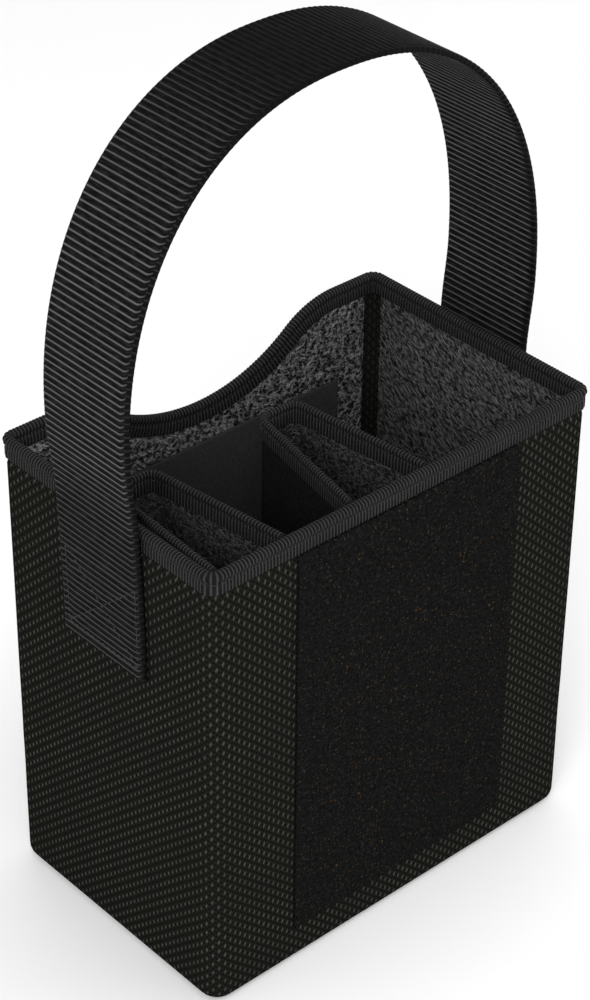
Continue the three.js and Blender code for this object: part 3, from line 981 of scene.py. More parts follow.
@dataclass(frozen=True)
class Shape:
    """The caddy's main sizes, read from the frame, and the few that the frame doesn't hold."""

    corner: float = 9 * MM
    rim_corner: float = 6 * MM
    rim_inset: float = 2.25 * MM
    bottom_round: float = 6 * MM
    mesh: float = 1.8 * MM
    turn_in: float = 7 * MM
    seam_x: float = 90 * MM
    scoop_half: float = 75 * MM
    scoop_round: float = 78 * MM
    tape_drop: float = 9.5 * MM
    pinch: float = 1.25 * MM
    half_x: float = field(default_factory=lambda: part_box("body_wrap")[1].x)
    half_y: float = field(default_factory=lambda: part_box("body_wrap")[1].y)
    wall_top: float = field(default_factory=lambda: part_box("body_wrap")[1].z)
    rim_top: float = field(default_factory=lambda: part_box("rim_binding")[1].z)
    rim_low: float = field(default_factory=lambda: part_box("rim_binding")[0].z)

    @property
    def scoop_depth(self) -> float:
        """How far the rim dips at the back."""
        return self.rim_top - self.rim_low - self.tape_drop

    @property
    def shoulder_round(self) -> float:
        """Radius of the scoop's shoulders, so that they meet the bottom arc and the level rim."""
        return (self.scoop_half**2 + self.scoop_depth**2) / (2 * self.scoop_depth) - self.scoop_round

    @property
    def shoulder_angle(self) -> float:
        """Steepest slope of the scoop."""
        return math.asin(self.scoop_half / (self.scoop_round + self.shoulder_round))

    def scoop_track(self, inset: float) -> Track:
        """The rim's top along the scoop, from right to left: shoulder, bottom and shoulder arcs.

        Args:
            inset: Distance in from the wall's outer face.

        Returns:
            The line, facing out of the back wall.
        """
        def arc(cx: float, cz: float, radius: float, start: float,
                stop: float) -> tuple[np.ndarray, np.ndarray]:
            """An arc in the wall's plane.

            Args:
                cx: Centre's X.
                cz: Centre's height.
                radius: Radius, below 0 for an arc under its centre.
                start: First angle from upright.
                stop: Last angle.

            Returns:
                Points, and the slope at each.
            """
            lean = np.linspace(start, stop, 49)
            x, z = cx + radius * np.sin(lean), cz + radius * np.cos(lean)
            return np.stack([x, np.full_like(x, self.half_y - inset), z], axis=1), lean

        top, low, turn = self.rim_top, self.rim_top - self.scoop_depth, self.shoulder_angle
        shoulder = (top - self.shoulder_round, self.shoulder_round)
        arcs = [
            arc(self.scoop_half, *shoulder, 0.0, -turn),
            arc(0.0, low + self.scoop_round, -self.scoop_round, -turn, turn),
            arc(-self.scoop_half, *shoulder, turn, 0.0),
        ]
        lean = np.concatenate([a[1] for a in arcs])
        upward = np.stack([np.sin(lean), np.zeros_like(lean), np.cos(lean)], axis=1)
        points = np.concatenate([a[0] for a in arcs])
        keep = np.concatenate([[True], np.linalg.norm(np.diff(points, axis=0), axis=1) > 1e-7])
        outward = np.tile([0.0, 1.0, 0.0], (len(points), 1))
        return Track(points[keep], outward[keep], upward[keep])

    def wall_top_at(self, x: np.ndarray) -> np.ndarray:
        """Top of the back wall's layers: the scoop's line, moved down square to itself.

        Args:
            x: Places along the wall.

        Returns:
            The height at each place.
        """
        under = self.rim_top - self.wall_top
        track = self.scoop_track(0.0)
        line = track.points - track.upward * under
        order = np.argsort(line[:, 0])
        return np.interp(x, line[order, 0], line[order, 2], left=self.wall_top, right=self.wall_top)

    def pinched(self, below: np.ndarray) -> np.ndarray:
        """How much a wall is pressed in by the tape's hem, easing out just below it.

        Args:
            below: Distances below the wall's top edge.

        Returns:
            A share from 0 to 1 at each distance.
        """
        hem = self.tape_drop - (self.rim_top - self.wall_top)
        return smoothstep(np.clip((hem + 3 * MM - below) / (2.7 * MM), 0, 1))

    def corners(self, inset: float, z: float, rounding: float) -> list[Track]:
        """The four vertical corners in plan, from the rear left one round to the rear right one.

        Args:
            inset: Distance in from the outer faces.
            z: Height.
            rounding: Radius at the outer faces.

        Returns:
            An arc for each corner.
        """
        cx, cy, radius = self.half_x - rounding, self.half_y - rounding, rounding - inset
        return [
            plan_arc(-cx, cy, z, radius, 90, 180),
            plan_arc(-cx, -cy, z, radius, 180, 270),
            plan_arc(cx, -cy, z, radius, 270, 360),
            plan_arc(cx, cy, z, radius, 0, 90),
        ]

    def rim_track(self) -> Track:
        """The whole rim's top line, closed."""
        turns = self.corners(self.rim_inset, self.rim_top, self.rim_corner)
        return joined([*turns, self.scoop_track(self.rim_inset)], closed=True)


# ---------------------------------------------------------------- mesh body


@dataclass
class MeshBody:
    """The outer cloth: a wrap round the front, ends and rear corners, a back cover and a base cover."""

    shape: Shape
    step: float = 4 * MM
    lip: float = 1.2 * MM
    ripple: float = 0.18 * MM
    ripple_size: float = 28 * MM
    seam_gap: float = 0.1 * MM
    rows: int = 44

    def section(self, top: np.ndarray | float, count: int) -> tuple[np.ndarray, np.ndarray, np.ndarray]:
        """The cloth in section: in under the base, round the bottom edge and up the wall.

        Args:
            top: Height where the wall ends.
            count: Points up the wall.

        Returns:
            Outer points and inner points, each (outward, height), and the distance along them.
        """
        r, t, turn = self.shape.bottom_round, self.shape.mesh, self.shape.turn_in
        angle = np.radians(np.linspace(90, 0, 9))
        inner_r = r - t
        outer_bend = np.stack([-r + r * np.cos(angle), r - r * np.sin(angle)], axis=1)
        inner_bend = np.stack([-r + inner_r * np.cos(angle), r - inner_r * np.sin(angle)], axis=1)
        hem = top - 12 * MM
        height = np.concatenate([np.linspace(r, hem, count)[1:], np.linspace(hem, top, 13)[1:]])
        pressed = -self.shape.pinch * self.shape.pinched(top - height)
        outer = np.concatenate([[[-turn, 0.0]], outer_bend, np.stack([pressed, height], axis=1)])
        inside = np.stack([np.full_like(height, -t), height], axis=1)
        inner = np.concatenate([[[-turn, t]], inner_bend, inside])
        return outer, inner, lengths_along(outer)

    def soften(self, outer: np.ndarray, inner: np.ndarray, s: np.ndarray) -> tuple[np.ndarray, np.ndarray]:
        """Rounds the two upright edges by drawing both faces together over the lip.

        Args:
            outer: Grid of points on the outer face.
            inner: Grid of points on the inner face.
            s: Distance along the wall at each row of the grids.

        Returns:
            Both grids, drawn together at their edges.
        """
        share = 0.8 * lip_share(s, self.lip)[:, None, None]
        middle = (outer + inner) / 2
        return outer + (middle - outer) * share, inner + (middle - inner) * share

    def wrap(self) -> Piece:
        """The wrap: the section carried round the corners, with a faint ripple over the boards.

        Returns:
            The piece.
        """
        shape = self.shape
        seam = shape.seam_x + self.seam_gap
        back = np.array([[0.0, 1.0, 0.0]])
        ends = [Track(np.array([[x, shape.half_y, 0.0]]), back, UP[None]) for x in (-seam, seam)]
        path = joined([ends[0], *shape.corners(0.0, 0.0, shape.corner), ends[1]], closed=False)
        s = edged(0.0, path.length, self.step / 2, self.lip)
        track = path.at(s)
        outer2, inner2, v = self.section(shape.wall_top, self.rows)
        wave = self.ripple * lattice_noise(*np.meshgrid(s, v, indexing="ij"), self.ripple_size, 5)
        calm = rises(v, 30 * MM, 20 * MM) * np.clip((shape.wall_top - v) / (20 * MM), 0, 1)
        lift = np.stack([-np.abs(wave) * calm, np.zeros_like(wave)], axis=-1)
        outer, inner = self.soften(track.carry(outer2, lift), track.carry(inner2), s)
        uv = np.stack(np.meshgrid(s, v, indexing="ij"), axis=-1)
        piece = MESH_CLOTH.dress(slab("mesh_wrap", outer, inner, uv, REVERSE))
        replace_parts(piece, "body_wrap")
        return piece

    def back(self) -> Piece:
        """The back cover: a section at each place along the wall, ending on the scoop's line.

        Returns:
            The piece.
        """
        shape = self.shape
        half = shape.seam_x - self.seam_gap
        x = edged(-half, half, self.step / 2, self.lip)
        tops = shape.wall_top_at(x)
        columns = [self.section(float(top), self.rows) for top in tops]
        outer2, inner2, v = (np.stack(values) for values in zip(*columns))
        wide = np.broadcast_to(x[:, None], v.shape)
        outer = np.stack([wide, shape.half_y + outer2[..., 0], outer2[..., 1]], axis=-1)
        inner = np.stack([wide, shape.half_y + inner2[..., 0], inner2[..., 1]], axis=-1)
        outer, inner = self.soften(outer, inner, x)
        uv = np.stack([wide, v], axis=-1)
        piece = MESH_CLOTH.dress(slab("mesh_back", outer, inner, uv, REVERSE))
        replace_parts(piece, "back_cover")
        return piece

    def base(self) -> Piece:
        """The base cover: rings of a rounded rectangle from the middle out, over the edge and back.

        Returns:
            The piece.
        """
        low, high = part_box("base_cover")
        angle = np.linspace(0, 2 * math.pi, 129)[:-1]
        corner = 1.8 * MM
        cos, sin = np.cos(angle), np.sin(angle)
        edge_x = np.clip(cos * 9, -1, 1) * (high.x - corner) + corner * cos
        edge_y = np.clip(sin * 9, -1, 1) * (high.y - corner) + corner * sin
        edge = np.stack([edge_x, edge_y], axis=1)
        shares = np.array([0.02, 0.5, 0.985, 1.0, 1.0, 0.985, 0.5, 0.02])
        heights = np.array([0.0, 0.0, 0.0, 0.4, 1.4, 1.8, 1.8, 1.8]) * MM
        rings = np.empty((len(shares), len(edge), 3))
        rings[..., :2] = edge * shares[:, None, None]
        rings[..., 2] = heights[:, None]
        piece = tube("mesh_base", rings, False, np.arange(8) * 10 * MM, np.linspace(0, 0.6, 129))
        loops = piece.data.loops
        index = np.zeros(len(loops), np.int32)
        loops.foreach_get("vertex_index", index)
        flat = rings.reshape(-1, 3)[index][:, :2]
        piece.data.uv_layers[0].data.foreach_set("uv", flat.astype(np.float32).ravel())
        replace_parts(MESH_CLOTH.dress(piece), "base_cover")
        return piece

    def seams(self) -> Piece:
        """Rows of stitches on both sides of the two rear seams.

        Returns:
            The stitches, in one piece.
        """
        shape, pitch, beside = self.shape, 3.6 * MM, 2.2 * MM
        z = np.arange(12 * MM, shape.wall_top - 9 * MM, pitch)
        rows = [x + side * beside for x in (-shape.seam_x, shape.seam_x) for side in (-1, 1)]
        gx, gz = np.meshgrid(rows, z, indexing="ij")
        centres = np.stack([gx, np.full_like(gx, shape.half_y), gz], axis=-1).reshape(-1, 3)
        along = np.tile(UP, (len(centres), 1))
        outward = np.tile([0.0, 1.0, 0.0], (len(centres), 1))
        piece = beads("body_seam_stitches", centres, along, outward, (2.5 * MM, 0.5 * MM, 0.45 * MM))
        return SEWING_THREAD.dress(piece)

    def build(self) -> list[Piece]:
        """Makes every piece of the outer cloth."""
        return [self.wrap(), self.back(), self.base(), self.seams()]


# ---------------------------------------------------------------- linings and loop fields


@dataclass
class WallLining:
    """One wall's crinkled lining, held flat at the rim and free to crumple below it."""

    shape: Shape
    side: Side
    crumple: float = 0.75 * MM
    crease: float = 17 * MM
    slant: float = 0.0
    seed: int = 11
    cloth: CoatedLining = LINING_CLOTH
    step: float = 1.2 * MM
    lip: float = 0.8 * MM

    def build(self) -> Piece:
        """The front face crumples into the caddy; the back face stays on the board.

        Returns:
            The piece.
        """
        node = f"{self.side.word}_lining"
        low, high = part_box(node)
        along_x = self.side.along_x
        start, stop = (low.x, high.x) if along_x else (low.y, high.y)
        u = edged(start, stop, self.step, self.lip)
        rise = edged(0.0, 1.0, self.step / (high.z - low.z), self.lip / (high.z - low.z))
        top = self.shape.wall_top_at(u) if self.side is Side.BACK else np.full_like(u, high.z)
        z = low.z + (top[:, None] - low.z) * rise[None, :]
        wide = np.broadcast_to(u[:, None], z.shape)
        sign = sum(self.side.value)
        faces = (low.y, high.y) if along_x else (low.x, high.x)
        inside, outside = sorted(faces, key=lambda place: place * sign)
        height = self.crumple * crinkle(wide, z, self.seed, self.crease, self.slant)
        height = height * self.calm(u, z, top)
        ends = lip_share(rise, self.lip / (high.z - low.z))
        pinch = np.maximum(lip_share(u, self.lip)[:, None], ends[None, :])
        sunk = 0.35 * (faces[1] - faces[0])
        face = inside - sign * (height - pinch * sunk)
        rear = np.full_like(face, outside) - sign * pinch * sunk
        grid = self.grid(wide, face, z)
        uv = np.stack([wide, z], axis=-1)
        piece = self.cloth.dress(slab(f"lining_{self.side.word}", grid, self.grid(wide, rear, z), uv))
        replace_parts(piece, node)
        return piece

    def grid(self, along: np.ndarray, across: np.ndarray, z: np.ndarray) -> np.ndarray:
        """Points from the wall's own coordinates."""
        return np.stack([along, across, z] if self.side.along_x else [across, along, z], axis=-1)

    def calm(self, u: np.ndarray, z: np.ndarray, top: np.ndarray) -> np.ndarray:
        """Where the cloth may crumple: not under the tape, at its edges or behind the loop field.

        Args:
            u: Places along the wall.
            z: Grid of heights.
            top: The wall's top at each place.

        Returns:
            A share from 0 to 1 at each point of the grid.
        """
        side = np.minimum(u - u[0], u[-1] - u)[:, None]
        free = rises(side, 0.0, 2 * MM) * rises(z, z.min(), 3 * MM)
        free = free * rises(top[:, None] - 6.2 * MM - z, 0.0, 3 * MM)
        if self.side is Side.BACK:
            low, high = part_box("inner_loop_panel")
            beyond = np.maximum(np.abs(u)[:, None] - high.x, z - high.z)
            free = free * np.clip(beyond / (2.5 * MM) + 0.1, 0, 1)
        return free


@dataclass
class LoopPanel:
    """A sewn-on field of loop pile with a soft edge, pressed in a little along its seam."""

    node: str
    name: str
    finish: LoopField
    wall: str
    tuck: float = 0.0
    stitch_inset: float = 2.4 * MM
    step: float = 1.6 * MM
    lip: float = 0.9 * MM
    nap: float = 0.14 * MM

    def build(self) -> Piece:
        """The panel faces -Y; its face is gently uneven and tucks in where its top meets the tape.

        Returns:
            The piece.
        """
        low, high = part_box(self.node)
        x, z = edged(low.x, high.x, self.step, self.lip), edged(low.z, high.z, self.step, self.lip)
        gx, gz = np.meshgrid(x, z, indexing="ij")
        depth = high.y - low.y
        pinch = np.maximum(lip_share(x, self.lip)[:, None], lip_share(z, self.lip)[None, :])
        near = np.minimum(np.minimum(gx - low.x, high.x - gx), np.minimum(gz - low.z, high.z - gz))
        dent = np.exp(-(((near - self.stitch_inset) / (0.8 * MM)) ** 2)) * 0.12 * MM
        uneven = np.abs(lattice_noise(gx, gz, 2.4 * MM, 23)) + np.abs(lattice_noise(gx, gz, 9 * MM, 24))
        tucked = self.tuck * np.clip(1 - (high.z - gz) / (3.2 * MM), 0, 1) ** 1.5
        face = low.y + dent + self.nap * uneven * (1 - pinch) + pinch * depth * 0.55 + tucked
        rear = high.y - pinch * depth * 0.2 + tucked
        uv = np.stack([gx, gz], axis=-1)
        grids = [np.stack([gx, y, gz], axis=-1) for y in (face, rear)]
        piece = self.finish.dress(slab(self.name, *grids, uv))
        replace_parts(piece, self.node)
        return piece


@dataclass
class BaseLining:
    """The lining on the floor of the caddy."""

    def build(self) -> Piece:
        """A gently crumpled plate, drawn in near its short ends to round its corners.

        Returns:
            The piece.
        """
        low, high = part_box("base_lining")
        corner, border = 4.6 * MM, 4 * MM
        x, y = edged(low.x, high.x, 2.5 * MM, 1 * MM), edged(low.y, high.y, 2.5 * MM, 1 * MM)
        gx, gy = np.meshgrid(x, y, indexing="ij")
        inset = np.clip(np.abs(gy) - (high.y - corner), 0, None)
        reach = high.x - (corner - np.sqrt(np.clip(corner**2 - inset**2, 0, None)))
        gx = gx * reach / high.x
        free = (np.abs(gx) < high.x - border) * (np.abs(gy) < high.y - border)
        top = high.z + 0.3 * MM * crinkle(gx, gy, 31, 14 * MM) * free
        grid = np.stack([gx, gy, top], axis=-1)
        under = np.stack([gx, gy, np.full_like(gx, low.z)], axis=-1)
        piece = LINING_CLOTH.dress(slab("lining_base", grid, under, np.stack([gx, gy], axis=-1)))
        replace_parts(piece, "base_lining")
        return piece


# ---------------------------------------------------------------- binding tape


@dataclass
class BindingTape:
    """Ribbed tape folded over an edge: a round roll, a stitched groove and a flat hem on each side."""

    name: str
    roll_half: float
    hem_out: float
    hem_in: float
    thickness: float
    drop_out: float
    drop_in: float
    roll_drop: float
    edge_drop: float = 3.5 * MM
    groove: float = 1.0 * MM
    pitch: float = 1.6 * MM
    rib: float = 0.3 * MM
    per_rib: int = 6

    def hem(self, face: float, drop: float) -> np.ndarray:
        """One hem in section, from its lower edge up to the roll.

        Args:
            face: Distance of its face from the edge's middle.
            drop: How far below the tape's top it ends.

        Returns:
            Points (outward, upward).
        """
        shelf, sunk = self.roll_drop + self.groove, 0.28 * MM
        return np.array([
            [face - 0.35 * MM, -drop],
            [face - 0.06 * MM, -drop + 0.25 * MM],
            [face, -drop + 0.8 * MM],
            [face, -(drop + shelf) / 2],
            [face, -shelf - 0.45 * MM],
            [face - 0.1 * MM, -shelf - 0.1 * MM],
            [face - sunk, -shelf + 0.2 * MM],
            [face - sunk, -self.roll_drop - 0.1 * MM],
        ])

    def section(self) -> tuple[np.ndarray, np.ndarray]:
        """The tape in section: hem, roll and hem, and the hollow that takes the edge.

        Returns:
            Points (outward, upward), and how much of the ribs each carries.
        """
        mirror = np.array([-1.0, 1.0])
        outside = self.hem(self.hem_out, self.drop_out)
        inside = self.hem(self.hem_in, self.drop_in)[::-1] * mirror
        angle = np.radians(np.linspace(-48, 228, 21))
        tall = self.roll_drop / 2
        roll = np.stack([self.roll_half * np.cos(angle), tall * (np.sin(angle) - 1)], axis=1)
        t, top = self.thickness, -self.edge_drop + 0.2 * MM
        hollow = [[-self.hem_in + t, -self.drop_in], [-self.hem_in + t, top],
                  [self.hem_out - t, top], [self.hem_out - t, -self.drop_out]]
        points = np.concatenate([outside, roll, inside, hollow])
        share = np.array([0.3, 0.8, 1.0, 1.0, 1.0, 0.9, 0.3, 0.3])
        ribbed = np.concatenate([share, np.ones(len(roll)), share[::-1], np.zeros(4)])
        return points, ribbed

    def build(self, path: Track, node: str) -> Piece:
        """Carries the section along a path, its skin cut in between the ribs.

        Args:
            path: The line of the edge's top.
            node: The CAD node that the tape stands for.

        Returns:
            The tape.
        """
        section, ribbed = self.section()
        ribs = max(1, round(path.length / self.pitch))
        count = ribs * self.per_rib
        s = np.linspace(0, path.length, count + 1)
        track = path.at(s[:-1] if path.closed else s)
        phase = s[: len(track.points)] / path.length * ribs * math.pi
        cutting = self.rib * (1 - np.abs(np.cos(phase)) ** 1.4)
        lift = -cutting[:, None, None] * (ribbed[:, None] * section_normals(section))[None]
        rings = track.carry(section, lift)
        t = lengths_along(section, closed=True)
        even = s * (ribs * self.pitch / path.length)
        piece = RIM_TAPE.dress(tube(self.name, rings, path.closed, even, t))
        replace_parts(piece, node)
        return piece

    def stitches(self, path: Track) -> Piece:
        """Stitches lying in the groove on both sides.

        Args:
            path: The line of the edge's top.

        Returns:
            The stitches, in one piece.
        """
        pitch, sunk = STITCH_PITCH, 0.3 * MM
        count = int(path.length / pitch)
        track = path.at((np.arange(count) + 0.5) * path.length / count)
        ahead = path.at(np.clip((np.arange(count) + 0.6) * path.length / count, 0, path.length))
        heading = unit(ahead.points - track.points)
        down = track.upward * (self.roll_drop + self.groove / 2)
        out = track.outward * (self.hem_out - sunk)
        back = track.outward * (self.hem_in - sunk)
        centres = np.concatenate([track.points + out - down, track.points - back - down])
        up = np.concatenate([track.outward, -track.outward])
        along = np.concatenate([heading, heading])
        piece = beads(f"{self.name}_stitches", centres, along, up, (2.3 * MM, 0.5 * MM, 0.5 * MM))
        return SEWING_THREAD.dress(piece)


# ---------------------------------------------------------------- pockets


@dataclass
class Pocket:
    """A tapered pocket hung from the front rim: outer cloth, lining, floor and a bound edge."""

    shape: Shape
    name: str
    seed: int
    middle: float
    lean: float
    half_front: float
    half_far: float
    far_y: float
    far_corner: float = 5 * MM
    stack: float = 1.8 * MM
    tape_half: float = 1.6 * MM

    @property
    def front_y(self) -> float:
        """Where the pocket starts, just clear of the rim tape's inner hem."""
        return -self.shape.half_y + 4.8 * MM

    def outline(self, z: float) -> Track:
        """The centre line in plan at a height, from the front left end round to the front right end.

        Two straight sides close in towards a far end with round corners, and the whole outline
        leans sideways in proportion to the distance from the front wall.

        Args:
            z: The height.

        Returns:
            The line, facing out of the pocket.
        """
        slope = (self.half_front - self.half_far) / (self.far_y - self.front_y)
        turn = math.atan(slope)
        corner_y = self.far_y - self.far_corner
        side = self.half_far + slope * self.far_corner
        centre = side - self.far_corner / math.cos(turn)
        degrees = math.degrees(turn)
        left = plan_arc(-centre, corner_y, z, self.far_corner, 180 - degrees, 90)
        right = plan_arc(centre, corner_y, z, self.far_corner, 90, degrees)
        out = np.array([[1.0, 0.0, 0.0]])
        first = Track(np.array([[-self.half_front, self.front_y, z]]), -out, UP[None])
        last = Track(np.array([[self.half_front, self.front_y, z]]), out, UP[None])
        path = joined([first, left, right, last], closed=False)
        path.points[:, 0] += self.middle + self.lean * (path.points[:, 1] - self.front_y)
        return path

    def sheet(self, node: str, finish: Finish, near: float, far: float, crumple: float) -> Piece:
        """An upright sheet round the pocket between two distances from the centre line.

        Args:
            node: The CAD node it stands for.
            finish: Its cloth.
            near: Distance of its inner face.
            far: Distance of its outer face.
            crumple: Height of the creases on its inner face.

        Returns:
            The sheet.
        """
        low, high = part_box(node)
        path = self.outline(0.0)
        s = edged(0.0, path.length, 1.8 * MM, 0.6 * MM)
        z = edged(low.z, high.z, 1.8 * MM, 0.6 * MM)
        track = path.at(s)
        gs, gz = np.meshgrid(s, z, indexing="ij")
        calm = rises(high.z - 6 * MM - gz, 0.0, 3 * MM) * rises(gs, 3 * MM, 3 * MM)
        calm = calm * rises(path.length - 3 * MM - gs, 0.0, 3 * MM)
        height = crumple * crinkle(gs, gz, self.seed, 11 * MM) * calm

        def surface(distance: np.ndarray) -> np.ndarray:
            """One face of the sheet.

            Args:
                distance: How far outward of the centre line each point is.

            Returns:
                Grid of points.
            """
            flat = track.points[:, None] + track.outward[:, None] * distance[..., None]
            flat[..., 2] = gz
            return flat

        inner = surface(near - height)
        outer = surface(np.full_like(gs, far))
        piece = finish.dress(slab(node + "_cloth", outer, inner, np.stack([gs, gz], axis=-1)))
        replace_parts(piece, node)
        return piece

    def floor(self) -> Piece:
        """The floor: rings of the outline from the middle out and back, the upper face dished.

        Returns:
            The piece.
        """
        node = f"{self.name}_floor"
        low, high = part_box(node)
        path = self.outline(0.0)
        track = path.at(np.linspace(0, path.length, 41))
        edge = track.points - track.outward * (self.stack / 2 + 0.3 * MM)
        middle = edge.mean(axis=0)
        shares = np.array([0.02, 0.4, 0.8, 1.0])

        def layer(z: float, dish: float) -> np.ndarray:
            """One face of the floor.

            Args:
                z: Height of its border.
                dish: How much lower its middle is.

            Returns:
                Rings of points, from the middle out.
            """
            rings = middle + (edge[None] - middle) * shares[:, None, None]
            rings[..., 2] = z - dish * (1 - shares[:, None] ** 2)
            return rings

        rings = np.concatenate([layer(low.z, 0.0), layer(high.z, 0.3 * MM)[::-1]])
        t = np.linspace(0, 0.1, len(edge) + 1)
        piece = tube(f"{self.name}_base_cloth", rings, False, np.arange(len(rings)) * 3 * MM, t)
        LINING_CLOTH.dress(piece)
        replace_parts(piece, node)
        return piece

    def build(self) -> list[Piece]:
        """Makes the pocket's cloths, floor, bound edge and stitches.

        Returns:
            The pieces.
        """
        half = self.stack / 2
        wall = self.sheet(f"{self.name}_wall", POCKET_CLOTH, half - 1 * MM, half, 0.0)
        lining = self.sheet(f"{self.name}_lining", FINE_LINING, -half, -half + 0.6 * MM, 0.4 * MM)
        low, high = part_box(f"{self.name}_binding")
        drop, half = high.z - low.z, self.tape_half
        tape = BindingTape(f"{self.name}_tape", half, half, half, 0.6 * MM, drop, drop, 3.2 * MM)
        path = self.outline(high.z)
        return [wall, lining, self.floor(), tape.build(path, f"{self.name}_binding"), tape.stitches(path)]


# ---------------------------------------------------------------- handle


@dataclass
class Strap:
    """The webbing handle: one ribbed strip, sewn flat on each end wall and arched over the top."""

    shape: Shape
    width: float = 49 * MM
    pitch: float = 2.8 * MM
    rib: float = 0.42 * MM
    per_rib: int = 10
    power: float = 2.25
    drift: float = 2.8 * MM
    bend_start: float = 191 * MM
    bend_end: float = 275 * MM
    sewn: float = 192 * MM
    free: float = 209 * MM
    widest: float = 245 * MM
    straight: float = 262 * MM

    def side_line(self) -> tuple[np.ndarray, float]:
        """The middle of the right half in the XZ plane, from the sewn end up to the top.

        It runs flat up the wall, eases out over the rim tape and on to its widest, and closes
        over the top as a quarter of a superellipse.

        Returns:
            Points (x, z), and the strip's thickness.
        """
        leg_low, leg_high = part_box("strap_right_leg")
        arch_low, arch_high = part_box("strap_arch")
        thick = leg_high.x - leg_low.x
        flat_x = (leg_low.x + leg_high.x) / 2
        wide = arch_high.x - thick / 2
        root = self.shape.half_x + 0.6 * MM + thick / 2
        rise = arch_high.z - thick / 2 - self.widest
        foot = leg_low.z + 0.02 * MM
        low = np.stack([np.full(12, flat_x), np.linspace(foot, self.sewn, 12)], axis=1)
        over = self.eased(flat_x, root, self.sewn, self.free, 12)
        out = self.eased(root, wide, self.free, self.widest, 24)
        angle = np.linspace(0, math.pi / 2, 241)[1:]
        bow_x = wide * np.cos(angle) ** (2 / self.power)
        bow_z = self.widest + rise * np.sin(angle) ** (2 / self.power)
        bow = np.stack([bow_x, bow_z], axis=1)
        bow[-1, 0] = 0.0
        return np.concatenate([low, over, out, bow]), thick

    def eased(self, x0: float, x1: float, z0: float, z1: float, count: int) -> np.ndarray:
        """A line that rises evenly while it moves sideways as a half wave of a cosine.

        Args:
            x0: Where it starts, sideways.
            x1: Where it ends, sideways.
            z0: Where it starts, in height.
            z1: Where it ends, in height.
            count: Points after the first, which is left out.

        Returns:
            Points (x, z).
        """
        ease = (1 - np.cos(np.linspace(0, math.pi, count + 1)[1:])) / 2
        return np.stack([x0 + (x1 - x0) * ease, np.linspace(z0, z1, count + 1)[1:]], axis=1)

    def path(self) -> tuple[Track, float]:
        """The whole strip's centre line, from the left end over the top to the right end.

        Returns:
            The line, and the strip's thickness.
        """
        half, thick = self.side_line()
        left = half * np.array([-1.0, 1.0])
        line = np.concatenate([left, half[-2::-1]])
        smooth = line.copy()
        for _ in range(3):
            smooth[1:-1] = (smooth[:-2] + 2 * smooth[1:-1] + smooth[2:]) / 4
        keep = np.concatenate([[True], np.linalg.norm(np.diff(smooth, axis=0), axis=1) > 1e-6])
        line = smooth[keep]
        along = unit(np.gradient(line, axis=0))
        outward = np.stack([-along[:, 1], np.zeros(len(line)), along[:, 0]], axis=1)
        points = np.stack([line[:, 0], self.shift(line[:, 0], line[:, 1]), line[:, 1]], axis=1)
        across = np.tile([0.0, 1.0, 0.0], (len(line), 1))
        return Track(points, outward, across), thick

    def shift(self, x: np.ndarray, z: np.ndarray) -> np.ndarray:
        """How far the strip wanders to the front: the left end was sewn on a little askew.

        Args:
            x: Points' X.
            z: Points' height.

        Returns:
            The move along Y at each point.
        """
        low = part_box("strap_right_leg")[0].z
        share = np.clip((self.straight - z) / (self.straight - low), 0, 1)
        return -self.drift * smoothstep(share) * (x < 0)

    def section(self, thick: float) -> np.ndarray:
        """The strip in section: flat faces with round selvedges.

        Args:
            thick: The strip's thickness.

        Returns:
            Points (outward, across).
        """
        r = thick / 2
        flat = self.width / 2 - r
        near, clear = flat - 0.8 * MM, flat - 1.8 * MM
        face = np.concatenate([[-flat, -near], np.linspace(-clear, clear, 13), [near, flat]])
        turn = np.radians(np.linspace(90, -90, 9))[1:-1]
        top = np.stack([np.full_like(face, r), face], axis=1)
        far = np.stack([r * np.sin(turn), flat + r * np.cos(turn)], axis=1)
        return np.concatenate([top, far, top[::-1] * [-1, 1], -far])

    def build(self) -> list[Piece]:
        """Builds the strip, its ribs half-round cords across it on both faces, and its stitches.

        Returns:
            The strap and the stitches of both ends.
        """
        path, thick = self.path()
        section = self.section(thick)
        ribs = round(path.length / self.pitch)
        s = np.linspace(0, path.length, ribs * self.per_rib + 1)
        track = path.at(s)
        normal = section_normals(section)
        outward = np.sign((normal * section).sum(axis=1, keepdims=True))
        phase = s / path.length * ribs * math.pi
        cutting = self.rib * (1 - np.abs(np.sin(phase)) ** 2.2)
        sewn = self.stitch_dent(track, section)
        inside = np.clip((self.width / 2 - np.abs(section[:, 1])) / (2.2 * MM), 0.12, 1.0)
        lift = -(cutting[:, None] * inside + sewn)[..., None] * (normal * outward)[None]
        ends = np.clip(np.minimum(s, path.length - s) / (1.0 * MM), 0.35, 1.0)[:, None, None]
        flat = np.broadcast_to(section, (len(s), *section.shape)) + lift
        squeezed = flat * np.concatenate([ends, np.ones_like(ends)], axis=-1)
        rings = track.carry(np.zeros_like(section), squeezed)
        t = lengths_along(section, closed=True)
        even = (s / path.length * ribs + 0.5) * self.pitch
        strap = WEBBING.dress(tube("strap_webbing", rings, False, even, t))
        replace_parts(strap, "strap_left_leg", "strap_right_leg", "strap_arch")
        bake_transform(strap, BODY, HANDLE, start=(0, 0, self.bend_start), end=(0, 0, self.bend_end))
        return [strap, *(self.stitches(sign) for sign in (-1, 1))]

    def box(self) -> Triple:
        """The sewn box.

        Returns:
            Its half width, bottom and top.
        """
        low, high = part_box("strap_right_stitching")
        return high.y, low.z, high.z

    def stitch_lines(self) -> list[tuple[np.ndarray, np.ndarray]]:
        """The box and its cross.

        Returns:
            Two ends (across, height) for each line.
        """
        half, bottom, top = self.box()
        a, b, c, d = np.array([(-half, bottom), (half, bottom), (half, top), (-half, top)])
        return [(a, b), (b, c), (c, d), (d, a), (a, c), (b, d)]

